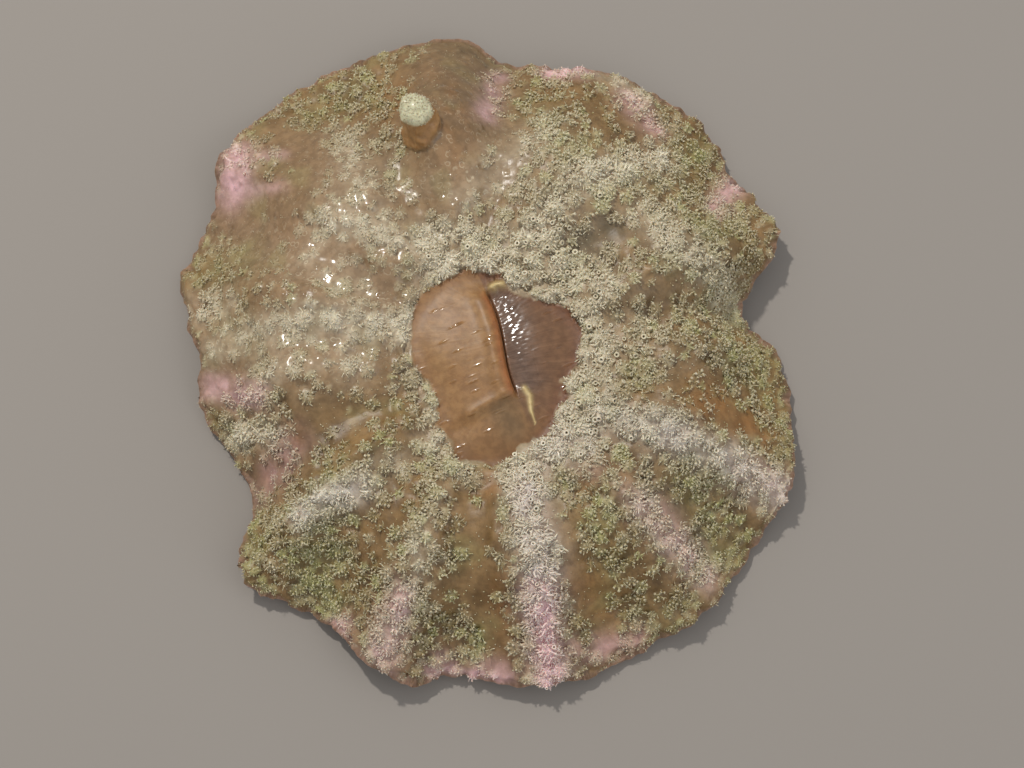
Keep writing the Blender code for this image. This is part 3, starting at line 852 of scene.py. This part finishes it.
def turned_shape(name, profile, sides, bend=0.0, painted_edge_light=0.0):
    """A closed-topped turned mesh, bent towards +X, with alternate sides paler as painted light.
    """
    points, faces, tipward, shares = [], [], [], []
    for radius, height, tip in profile:
        for j in range(sides):
            angle = 2 * pi * j / sides
            points.append((radius * cos(angle) + bend * height * height,
                           radius * sin(angle), height))
            # every other side is painted paler: a painted highlight for the bright edges of a
            # translucent tube
            tipward.append(tip + painted_edge_light * (1.0 - tip) * (j % 2) if tip <= 1.0 else tip)
    for i in range(len(profile) - 1):
        for j in range(sides):
            k = (j + 1) % sides
            faces.append((i * sides + j, i * sides + k, (i + 1) * sides + k,
                          (i + 1) * sides + j))
            shares.append(((j, i), (j + 1, i), (j + 1, i + 1), (j, i + 1)))
    rows = len(profile) - 1
    last = rows * sides
    radius, height, tip = profile[-1]
    rise = TOP_RISE if tip <= 1.0 else -PORE_DROP
    points.append((bend * height * height, 0.0, height + rise))
    tipward.append(tip if tip <= 1.0 else PORE_TIP)
    for j in range(sides):
        faces.append((last + j, last + (j + 1) % sides, len(points) - 1))
        shares.append(((j, rows), (j + 1, rows), (j + 0.5, rows + 1)))
    mesh = bpy.data.meshes.new(name)
    mesh.from_pydata(points, [], faces)
    mesh.shade_smooth()
    store(mesh, "tip", np.array(tipward))
    patch = mesh.uv_layers.new(name="OFBake")
    flat = [(u / sides, v / len(profile)) for corners in shares for u, v in corners]
    patch.data.foreach_set("uv", np.array(flat).ravel())
    return add_object(name, mesh)


# the paler alternate sides are painted light, standing for the bright edges of translucent
# tentacles
SHAPES = {"buds": turned_shape("bud_shape", BUD, 5, bend=0.6, painted_edge_light=0.4),
          "strands": turned_shape("strand_shape", STRAND, 4, bend=2.2, painted_edge_light=0.8),
          "dots": turned_shape("dot_shape", STRAND, 4, bend=0.3),
          "rings": turned_shape("ring_shape", RING, 8, bend=0.3),
          "fingers": turned_shape("finger_shape", FINGER, 6, bend=1.6, painted_edge_light=0.9)}
for kind, shape in SHAPES.items():
    print(kind, len(shape.data.polygons), "faces each")

# %% [markdown]
# ## How they grow
#
# Roots are thrown at random, but none closer to another than one or two widths of a
# tentacle, and there are more of them where a field of the skin is high. Each tentacle then
# leans away from its tuft's centre, is combed outwards from the line of its ridge, and is a
# little shorter towards its tuft's edge. One Geometry Nodes tree does this for every kind,
# with its sizes as inputs. It works on one sector of the disc at a time, so that no piece
# of the coat grows too large.

# %% The roots of the tentacles
INPUTS = (("Skin", "Geometry"), ("Shape", "Object"), ("Finish", "Material"),
          ("Field", "String"), ("Field from", "Float"), ("Field to", "Float"),
          ("Spacing", "Float"), ("Most per square metre", "Float"), ("Seed", "Int"),
          ("Radius", "Float"), ("Length", "Float"), ("Spread", "Float"),
          ("Upright", "Float"), ("Tuft lean", "Float"), ("Disorder", "Float"),
          ("Combing", "Float"),
          ("Sector from", "Float"), ("Sector width", "Float"))
CHANCE_SEED, JITTER_SEED, SPIN_SEED, SIZE_SEED = 3, 5, 7, 11


def skin_field(g, name, kind="FLOAT"):
    return g.add("GeometryNodeInputNamedAttribute", {"data_type": kind}, {"Name": name})


def random_number(g, low, high, seed):
    return g.add("FunctionNodeRandomValue", {"data_type": "FLOAT"},
                 {2: low, 3: high, "Seed": seed}, 1)


def kept_field(g, points, name, values, kind="FLOAT"):
    """The points, with values kept on them under a name."""
    return g.add("GeometryNodeStoreNamedAttribute", {"data_type": kind},
                 {"Geometry": points, "Name": name, "Value": values})


def thrown_roots(g, asked):
    """Root points in one sector of the skin, and the skin's normal there."""
    share = skin_field(g, asked("Field")).step(asked("Field from"), asked("Field to"))
    thrown = g.add("GeometryNodeDistributePointsOnFaces", {"distribute_method": "POISSON"},
                   {"Mesh": asked("Skin"), "Distance Min": asked("Spacing"),
                    "Density Max": asked("Most per square metre"),
                    "Density Factor": share, "Seed": asked("Seed")})
    place = g.add("GeometryNodeInputPosition", {}, {})
    from_axis = place - (AXIS[0], AXIS[1], 0.0)
    angle = g.add("ShaderNodeMath", {"operation": "ARCTAN2"},
                  {0: from_axis.part(1), 1: from_axis.part(0)})
    turned = g.add("ShaderNodeMath", {"operation": "FLOORED_MODULO"},
                   {0: angle - asked("Sector from"), 1: 2 * pi})
    outside = g.add("FunctionNodeCompare", {"data_type": "FLOAT", "operation": "GREATER_EQUAL"},
                    {0: turned, 1: asked("Sector width")})
    inside = g.add("GeometryNodeDeleteGeometry", {"domain": "POINT"},
                   {"Geometry": thrown, "Selection": outside})
    rooted = kept_field(g, inside, "root", place, "FLOAT_VECTOR")
    roots = kept_field(g, rooted, "chance", random_number(g, 0.0, 1.0, CHANCE_SEED))
    return roots, thrown.other("Normal")


print(len(INPUTS), "inputs")


# %% The tree that sets them on the skin
def tentacle_turn(g, asked, normal, off_centre):
    """Which way each tentacle points, with a random spin about itself."""
    jitter = g.add("FunctionNodeRandomValue", {"data_type": "FLOAT_VECTOR"},
                   {0: (-1.0,) * 3, 1: (1.0,) * 3, "Seed": JITTER_SEED}, 0)
    combed = skin_field(g, "comb", "FLOAT_VECTOR")
    upright = asked("Upright") * (1.0 - skin_field(g, "film") * 0.8)
    heading = (normal * upright + off_centre * asked("Tuft lean")
               + jitter * asked("Disorder") + combed * asked("Combing"))
    facing = g.add("FunctionNodeAlignRotationToVector", {"axis": "Z"}, {"Vector": heading})
    spin = g.add("FunctionNodeAxisAngleToRotation", {},
                 {"Axis": (0.0, 0.0, 1.0), "Angle": random_number(g, 0.0, 2 * pi, SPIN_SEED)})
    return g.add("FunctionNodeRotateRotation", {"rotation_space": "LOCAL"},
                 {"Rotation": facing, "Rotate By": spin})


def tentacle_size(g, asked, off_centre):
    """Each tentacle's scale across and along, shorter towards its tuft's edge."""
    domed = off_centre.length().step(0.2, 1.1, 1.0, 0.6)
    size = (1.0 + asked("Spread") * random_number(g, -0.5, 0.5, SIZE_SEED))
    size = size * (1.0 - skin_field(g, "short"))
    wide = asked("Radius") * size
    return g.add("ShaderNodeCombineXYZ", {}, {0: wide, 1: wide,
                                              2: asked("Length") * size * domed})


def growing_tree():
    tree = bpy.data.node_groups.new("grow on skin", "GeometryNodeTree")
    for name, kind in INPUTS:
        tree.interface.new_socket(name, in_out="INPUT", socket_type="NodeSocket" + kind)
    tree.interface.new_socket("Coat", in_out="OUTPUT", socket_type="NodeSocketGeometry")
    g = Graph(tree)
    asked = g.add("NodeGroupInput", {}, {}).other
    roots, normal = thrown_roots(g, asked)
    off_centre = skin_field(g, "lean", "FLOAT_VECTOR")
    shape = g.add("GeometryNodeObjectInfo", {}, {"Object": asked("Shape")}, "Geometry")
    copies = g.add("GeometryNodeInstanceOnPoints", {},
                   {"Points": roots, "Instance": shape,
                    "Rotation": tentacle_turn(g, asked, normal, off_centre),
                    "Scale": tentacle_size(g, asked, off_centre)})
    real = g.add("GeometryNodeRealizeInstances", {}, {"Geometry": copies})
    finished = g.add("GeometryNodeSetMaterial", {}, {"Geometry": real,
                                                     "Material": asked("Finish")})
    g.add("NodeGroupOutput", {}, {"Coat": finished})
    return tree


GROW = growing_tree()
print("growing tree has", len(GROW.nodes), "nodes")

# %% [markdown]
# ## Skin colour
#
# The fields choose between a few pigments, and noise stretched along the rays draws the
# fine muscle lines. On the bare middle the western lip is peach and the eastern side is
# darker, with an orange band where the lip rolls in. Shade below the mouth's fold is painted
# in, and the dark red along the bare edge is red pigment with painted shade. The skin lets
# some light through. Short creases on the bare middle and low round swellings under the film
# of water catch the light.

# %% The skin's material
OLIVE_DARK, OLIVE = spectral(112, 86, 50), spectral(148, 118, 78)
PEACH_DARK, PEACH = spectral(138, 98, 58), spectral(160, 124, 82)
SHADE_DARK, SHADE = spectral(96, 76, 64), spectral(126, 102, 88)
RED_DARK, RED_BROWN = spectral(104, 72, 48), spectral(132, 98, 70)
# the second colour on the next line is painted shade, for the hollow below the mouth's fold
LOW_BROWN, BELOW_FOLD_SHADE = spectral(134, 98, 62), spectral(124, 97, 66)
# dark red at the bare middle's edge, partly pigment and partly painted shade under the tufts
EDGE_RED_AND_SHADE = spectral(118, 74, 46)
LIP_ORANGE = spectral(150, 96, 54)
YOLK = spectral(206, 184, 134)
RING_PALE = spectral(224, 212, 184)
PALE = spectral(200, 186, 162)
LILAC = spectral(216, 206, 204)
ROSE = spectral(234, 190, 196)
LIME = spectral(150, 150, 98)
RUST = spectral(152, 104, 54)
FILM = spectral(146, 119, 92)
DUSK = spectral(94, 85, 66)
WALL_PINK, WALL_BROWN = spectral(176, 140, 122), spectral(132, 106, 84)
CAP, STUB = spectral(204, 200, 168), spectral(168, 128, 84)
DAPPLE_DARK, DAPPLE_BRIGHT = (0.86, 0.84, 0.80), (1.10, 1.10, 1.08)
# field, pigment and share, in the order in which they lie on the skin
SKIN_PIGMENTS = (("film", FILM, 0.75), ("rust", RUST, 0.7), ("lime", LIME, 0.4),
                 ("pale", PALE, 0.7), ("lilac", LILAC, 0.6), ("dusk", DUSK, 0.75),
                 ("rose", ROSE, 0.95))
# the hollow is painted shade below the fold; the edge is red pigment with painted shade
MIDDLE_MARKS_AND_SHADE = (("shade_below_fold", BELOW_FOLD_SHADE, 1.0), ("band", LIP_ORANGE, 1.0),
                   ("edge", EDGE_RED_AND_SHADE, 0.75), ("yolk", YOLK, 1.0))
# tufts run from olive to grey and yellow-green, and take paler pigments than the skin
TUFT_STOPS = ((0.0, spectral(148, 129, 86)), (0.35, spectral(164, 149, 108)),
              (0.7, spectral(184, 169, 136)), (1.0, spectral(174, 170, 114)))
TUFT_PIGMENTS = (("rust", spectral(158, 124, 84), 0.5), ("lime", spectral(172, 170, 116), 0.75),
                 ("dusk", spectral(122, 114, 98), 0.5), ("film", spectral(176, 157, 128), 0.6),
                 ("pale", spectral(226, 215, 192), 0.85),
                 ("lilac", spectral(230, 220, 216), 0.7),
                 ("rose", spectral(248, 208, 212), 0.9))
FLESH_DEPTH, TENTACLE_DEPTH = 1.2 * MM, 0.3 * MM
WET_IOR = 1.45
# how many lumps of noise there are to a metre
GRAIN, CLOUD, SWELLS, DROPS, CREASES, NET = 900.0, 220.0, 380.0, 520.0, 1000.0, 780.0
RELIEF = 0.22 * MM


def wet_shader(g, colour, roughness, relief, depth):
    """Wet flesh that lets light through to a depth."""
    shader = g.add("ShaderNodeBsdfPrincipled", {},
                   {"Base Color": colour, "Roughness": roughness, "Normal": relief,
                    "Subsurface Weight": 0.4, "Subsurface Scale": depth,
                    "Subsurface Radius": (1.0, 0.75, 0.55), "IOR": WET_IOR})
    g.add("ShaderNodeOutputMaterial", {}, {"Surface": shader})


def empty_material(name):
    material = bpy.data.materials.new(name)
    material.use_nodes = True
    material.node_tree.nodes.clear()
    return material


def bumped(g, height, depth):
    return g.add("ShaderNodeBump", {}, {"Height": height, "Distance": depth, "Strength": 1.0})


def beads(g, place, scale, radius, share):
    """Round swellings of the wet surface, in a share of the cells of a scale."""
    cells = g.add("ShaderNodeTexVoronoi", {}, {"Vector": place, "Scale": scale})
    chosen = cells.other(1).part(0).step(1.0 - share, 1.02 - share)
    return cells.step(radius, 0.0) * chosen


def stained(g, colour, pigments):
    """A colour with each field's colour laid over it: pigment, and on the bare middle painted
    shade.
    """
    for name, pigment, share in pigments:
        colour = g.mix(g.attribute(name) * share, colour, pigment)
    return colour


def tuft_colour(g):
    """The pigment of a tuft, shared by its skin and its tentacles."""
    return stained(g, g.ramp(g.attribute("tuft"), TUFT_STOPS), TUFT_PIGMENTS)


print(len(SKIN_PIGMENTS), "pigments on the skin and", len(TUFT_PIGMENTS), "in the tufts")


# %% The skin's colour and relief
def middle_colour(g, place, cloud, lines, hairs):
    """The bare middle: peach to the west of the slit, red-brown to the east."""
    west = g.ramp(cloud * 0.6 + lines * 0.25 + hairs * 0.15, ((0.28, PEACH_DARK), (0.72, PEACH)))
    east = g.ramp(cloud * 0.3 + lines * 0.4 + hairs * 0.3, ((0.32, RED_DARK), (0.66, RED_BROWN)))
    shade = g.ramp(lines * 0.5 + hairs * 0.5, ((0.32, SHADE_DARK), (0.66, SHADE)))
    east = g.mix(g.attribute("slit"), east, shade)
    middle = g.mix(g.attribute("east"), west, east)
    from_axis = place - (AXIS[0], AXIS[1], 0.0)
    low_side = from_axis.part(1) - from_axis.part(0) * 0.35
    middle = g.mix(low_side.step(-10.5 * MM, -14.5 * MM, 0.0, 0.8), middle, LOW_BROWN)
    return stained(g, middle, MIDDLE_MARKS_AND_SHADE)


def film_net(g, place):
    """Where broken pale rings show through the film of water."""
    swirl = g.add("ShaderNodeTexNoise", {}, {"Vector": place, "Scale": GRAIN}, 1)
    cells = g.add("ShaderNodeTexVoronoi", {}, {"Vector": place + swirl * (0.8 * MM),
                                               "Scale": NET, "Randomness": 0.85})
    rings = cells.step(0.22, 0.30) * cells.step(0.42, 0.32)
    rings = rings * g.noise(place, 1300.0, 0.0, 0.5).step(0.42, 0.60)
    return g.attribute("film") * rings * (0.15 + g.attribute("pale") + g.attribute("crowd"))


def skin_colour(g, place, cloud, lines, hairs, grain):
    ground = g.ramp(cloud * 0.8 + lines * 0.2, ((0.36, OLIVE_DARK), (0.62, OLIVE)))
    colour = g.mix(g.attribute("bare"), ground, middle_colour(g, place, cloud, lines, hairs))
    colour = stained(g, colour, SKIN_PIGMENTS)
    colour = g.mix(g.attribute("crowd") * 0.9, colour, tuft_colour(g))
    colour = g.mix(film_net(g, place) * 0.85, colour, RING_PALE)
    wall = g.ramp(cloud * 0.4 + hairs * 0.6, ((0.40, WALL_BROWN), (0.62, WALL_PINK)))
    colour = g.mix(g.attribute("under"), colour, wall)
    cap = g.mix(place.part(2).step(CAP_FROM, CAP_FROM + 0.8 * MM), STUB, CAP)
    colour = g.mix(g.attribute("knob"), colour, cap)
    dapple = g.mix(grain.step(0.35, 0.65), DAPPLE_DARK, DAPPLE_BRIGHT)
    return g.mix(1.0, colour, dapple, "MULTIPLY")


def skin_material():
    material = empty_material("wet_skin")
    g = Graph(material.node_tree)
    place = g.add("ShaderNodeTexCoord", {}, {}, "Object")
    ray = g.attribute("ray", "Vector")
    grain = g.noise(place, GRAIN, 3.0, 0.6)
    cloud = g.noise(place, CLOUD, 3.0, 0.55)
    lines = g.noise(ray * (22.0, 22.0, 1.3), 1.0, 3.0, 0.6)
    hairs = g.noise(ray * (75.0, 75.0, 2.2), 1.0, 2.0, 0.5)
    film, slit, bare = (g.attribute(name) for name in ("film", "slit", "bare"))

    matt = (1.0 - film) * (1.0 - slit * 0.9) * (1.0 - bare * 0.6)
    fine = (lines * 0.2 + grain * 0.3 + hairs * 0.1) * matt
    wrinkles = g.noise(ray * (20.0, 20.0, 9.0), 1.0, 0.0, 0.5) * (slit * 0.42 + bare * 0.04)
    swells = g.noise(place, SWELLS, 0.0, 0.5) * (0.35 + film * 1.1)
    aslant = g.add("ShaderNodeVectorRotate", {"rotation_type": "Z_AXIS"},
                   {"Vector": place, "Angle": -0.4})
    creases = beads(g, aslant * (0.24, 1.0, 1.0), CREASES, 0.33, 0.85) * bare * (1.0 - slit)
    drops = beads(g, place, DROPS, 0.40, 0.75) * film
    relief = bumped(g, fine + wrinkles + swells + creases * 0.34 + drops * 0.95, RELIEF)
    dull = 0.42 - film * 0.28 + bare * (0.02 - slit * 0.32)
    dull = dull - creases.step(0.2, 0.45) * 0.36 - drops.step(0.0, 0.15) * 0.06
    colour = skin_colour(g, place, cloud, lines, hairs, grain)
    wet_shader(g, colour, dull, relief, FLESH_DEPTH)
    return material


store(skin_mesh, "band", bell(beside + 0.5 * MM, 0.6 * MM) * within)
skin_mesh.materials.append(skin_material())
skin_mesh.shade_smooth()
skin = add_object("skin", skin_mesh)
skin_tree = BVHTree.FromPolygons([Vector(place) for place in moved],
                                 [p.vertices for p in skin_mesh.polygons])
print("skin has", len(skin_mesh.polygons), "faces")

# %% [markdown]
# ## Tentacle colour
#
# Each tentacle darkens a little towards its root, as the light falls off between its
# neighbours, and pales to its tip. The pore inside an open tip is painted dark, as painted
# shade in the hole. A tentacle takes its pigment from the same fields as the skin beneath it.

# %% The tentacles' material
TENTACLE_ROOT, TENTACLE_TIP = spectral(130, 102, 64), spectral(236, 228, 206)
# the colour of the painted shade inside an open tip's pore
PORE_SHADE = spectral(118, 102, 74)
TONE_DARK, TONE_BRIGHT = (0.86, 0.85, 0.82), (1.12, 1.12, 1.10)
TENTACLE_ROUGHNESS = 0.22
TENTACLE_RELIEF = 0.06 * MM


def tentacle_material():
    material = empty_material("tentacles")
    g = Graph(material.node_tree)
    place = g.add("ShaderNodeTexCoord", {}, {}, "Object")
    tip, chance = g.attribute("tip"), g.attribute("chance")
    root = g.attribute("root", "Vector")
    cloud = g.noise(root, 500.0, 2.0, 0.5)
    body = tuft_colour(g)
    deep = g.mix(0.10, body, TENTACLE_ROOT)
    bright = g.mix(0.38 - g.attribute("film") * 0.2, body, TENTACLE_TIP)
    colour = g.mix(tip.step(0.0, 0.45), deep, body)
    colour = g.mix(tip.step(0.55, 0.95), colour, bright)
    tone = g.mix(chance * 0.6 + cloud * 0.4, TONE_DARK, TONE_BRIGHT)
    colour = g.mix(1.0, colour, tone, "MULTIPLY")
    # painted shade inside the pore of an open tip
    colour = g.mix(tip.step(1.2, 1.75), colour, PORE_SHADE)
    relief = bumped(g, g.noise(place, 2500.0, 1.0, 0.5), TENTACLE_RELIEF)
    wet_shader(g, colour, TENTACLE_ROUGHNESS, relief, TENTACLE_DEPTH)
    return material


TENTACLES = tentacle_material()
print("tentacle material has", len(TENTACLES.node_tree.nodes), "nodes")

# %% [markdown]
# ## An unwrap for the coat
#
# The tips are too many for a texture patch each of any size, so every tentacle gets a tiny
# patch placed where its root lies on an unrolled skin. Unrolling keeps the turn about the
# axis and lays out the path along the flesh from the axis as the radius.

# %% Unrolling the skin about the axis
RAY_COUNT = 180
RING_STEP = 0.5 * MM
FARTHEST = 62.0 * MM            # past the rim, from the axis
ABOVE_ALL = 0.1                 # a height from which to look down on the skin
PATCH = 0.003                   # a tentacle's patch, and the skin's radius, in texture widths
UNROLLED_RADIUS = 0.47


def profile_paths():
    """The path length along the upper skin, for each ray and reach from the axis."""
    reaches = np.arange(0.0, FARTHEST, RING_STEP)
    lengths = np.zeros((RAY_COUNT, len(reaches)))
    for k in range(RAY_COUNT):
        angle = 2 * pi * k / RAY_COUNT
        heights = []
        for out in reaches:
            start = Vector((AXIS[0] + out * cos(angle), AXIS[1] + out * sin(angle), ABOVE_ALL))
            hit = skin_tree.ray_cast(start, Vector((0, 0, -1)))[0]
            heights.append(hit.z if hit else heights[-1])
        drops = np.clip(np.diff(heights), -2 * RING_STEP, 2 * RING_STEP)
        lengths[k, 1:] = np.cumsum(np.hypot(RING_STEP, drops))
    return lengths


PATHS = profile_paths()
FULL_PATH = PATHS.max()


def unrolled(roots):
    """Where roots lie on the unrolled skin."""
    away = roots[:, :2] - AXIS
    out = np.hypot(*away.T) / RING_STEP
    angle = np.arctan2(away[:, 1], away[:, 0])
    column = np.round(angle / (2 * pi) * RAY_COUNT).astype(int) % RAY_COUNT
    low = np.clip(out.astype(int), 0, PATHS.shape[1] - 2)
    path = PATHS[column, low] + (out - low) * (PATHS[column, low + 1] - PATHS[column, low])
    radius = UNROLLED_RADIUS * path / FULL_PATH
    return 0.5 + radius[:, None] * np.stack([np.cos(angle), np.sin(angle)], axis=1)


def patch_map(mesh):
    """Moves each tentacle's own small unwrap to its root's place."""
    roots = np.empty(len(mesh.vertices) * 3)
    mesh.attributes["root"].data.foreach_get("vector", roots)
    corners = np.empty(len(mesh.loops), dtype=np.int64)
    mesh.loops.foreach_get("vertex_index", corners)
    layer = mesh.uv_layers["OFBake"]
    own = np.empty(len(mesh.loops) * 2)
    layer.uv.foreach_get("vector", own)
    centre = unrolled(roots.reshape(-1, 3))[corners]
    layer.uv.foreach_set("vector", (centre + (own.reshape(-1, 2) - 0.5) * PATCH).ravel())


def keep_off_floor(mesh):
    places = points_of(mesh)
    places[:, 2] = np.maximum(places[:, 2], 0.0)
    set_points(mesh, places)


print("longest unrolled path", (FULL_PATH / MM).round(1), "mm")

# %% [markdown]
# ## The coat
#
# Each kind of tentacle has its own row of sizes and its own field of the skin to follow.
# Buds, strands and dots grow nearly everywhere. Open tubes stand in a loose ring about the
# middle, and fingers on the palest ridges, above all on the long southern one.

# %% Where tubes and fingers grow
TUBE_REACH, TUBE_WIDTH, TUBE_SIDE = 19.0 * MM, 6.0 * MM, 30.0      # most on this side, degrees
tubes = bell(reach - TUBE_REACH, TUBE_WIDTH)
tubes = tubes * (0.55 + 0.45 * np.cos(np.radians(turn - TUBE_SIDE)))
tubes = np.clip(0.6 * tubes + 0.25 * fields["pale"] + 0.04, 0.0, 1.0) * ease(0.3, 0.7, crowd)
whips = np.clip(fields["pale"] - 0.25, 0.0, 1.0)
whips = whips * ease(300.0, 285.0, turn) * ease(255.0, 268.0, turn)
whips = whips * ease(16.0 * MM, 19.0 * MM, reach)
whips = np.clip(1.5 * whips + 0.35 * fields["pale"] * ease(0.5, 0.9, fields["pale"]), 0.0, 1.0)
store(skin_mesh, "tubes", tubes)
store(skin_mesh, "whips", whips)
print("tubes on", (tubes > 0.5).mean().round(3), "of the skin")

# %% Growing the tentacles
CROP_INPUTS = ("Field", "Field from", "Field to", "Spacing", "Most per square metre",
               "Radius", "Length", "Spread", "Upright", "Tuft lean", "Disorder", "Combing")
CROPS = {
    "buds": ("crowd", 0.25, 0.60, 0.42 * MM, 6.5 / MM ** 2,
             0.20 * MM, 0.55 * MM, 0.6, 1.0, 0.9, 0.7, 0.6),
    "strands": ("crowd", 0.30, 0.60, 0.30 * MM, 12.0 / MM ** 2,
                0.09 * MM, 0.80 * MM, 0.7, 0.4, 0.8, 1.2, 1.1),
    "dots": ("ground", 0.3, 1.0, 0.30 * MM, 0.5 / MM ** 2,
             0.10 * MM, 0.20 * MM, 0.9, 1.0, 0.0, 0.7, 0.0),
    "rings": ("tubes", 0.05, 0.9, 1.20 * MM, 0.8 / MM ** 2,
              0.37 * MM, 0.95 * MM, 0.4, 1.0, 0.7, 0.4, 0.3),
    "fingers": ("whips", 0.1, 0.6, 0.40 * MM, 5.0 / MM ** 2,
                0.17 * MM, 1.2 * MM, 0.5, 0.25, 0.4, 0.9, 1.5),
}
SECTORS = {"buds": 5, "strands": 6, "dots": 1, "rings": 1, "fingers": 1}
FIRST_SEED = 40


def grow(kind, seed, first, width):
    """The tentacles of one kind in one sector, as a mesh."""
    ground = add_object("ground", skin_mesh)
    modifier = ground.modifiers.new("grow", "NODES")
    modifier.node_group = GROW
    wanted = dict(zip(CROP_INPUTS, CROPS[kind]))
    wanted.update({"Shape": SHAPES[kind], "Finish": TENTACLES, "Seed": seed,
                   "Sector from": first, "Sector width": width})
    for item in GROW.interface.items_tree:
        if item.in_out == "INPUT" and item.name != "Skin":
            modifier[item.identifier] = wanted[item.name]
    mesh = evaluated_mesh(ground, kind)
    bpy.data.objects.remove(ground)
    return mesh


coat = []
for kind, count in SECTORS.items():
    for k in range(count):
        mesh = grow(kind, FIRST_SEED + len(coat), -pi + 2 * pi * k / count, 2 * pi / count)
        patch_map(mesh)
        keep_off_floor(mesh)
        coat.append(add_object("tentacles_%s_%d" % (kind, k + 1), mesh))
        print(kind, k + 1, sum(len(p.vertices) - 2 for p in mesh.polygons), "triangles")
for shape in SHAPES.values():
    bpy.data.objects.remove(shape)

# %% [markdown]
# ## Handing over
#
# The skin stands in for all the solids of the flesh, and the tentacles ride with it.

# %% Handing over
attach(skin, "root")
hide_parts(*NODES)
for piece in coat:
    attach(piece, "root")
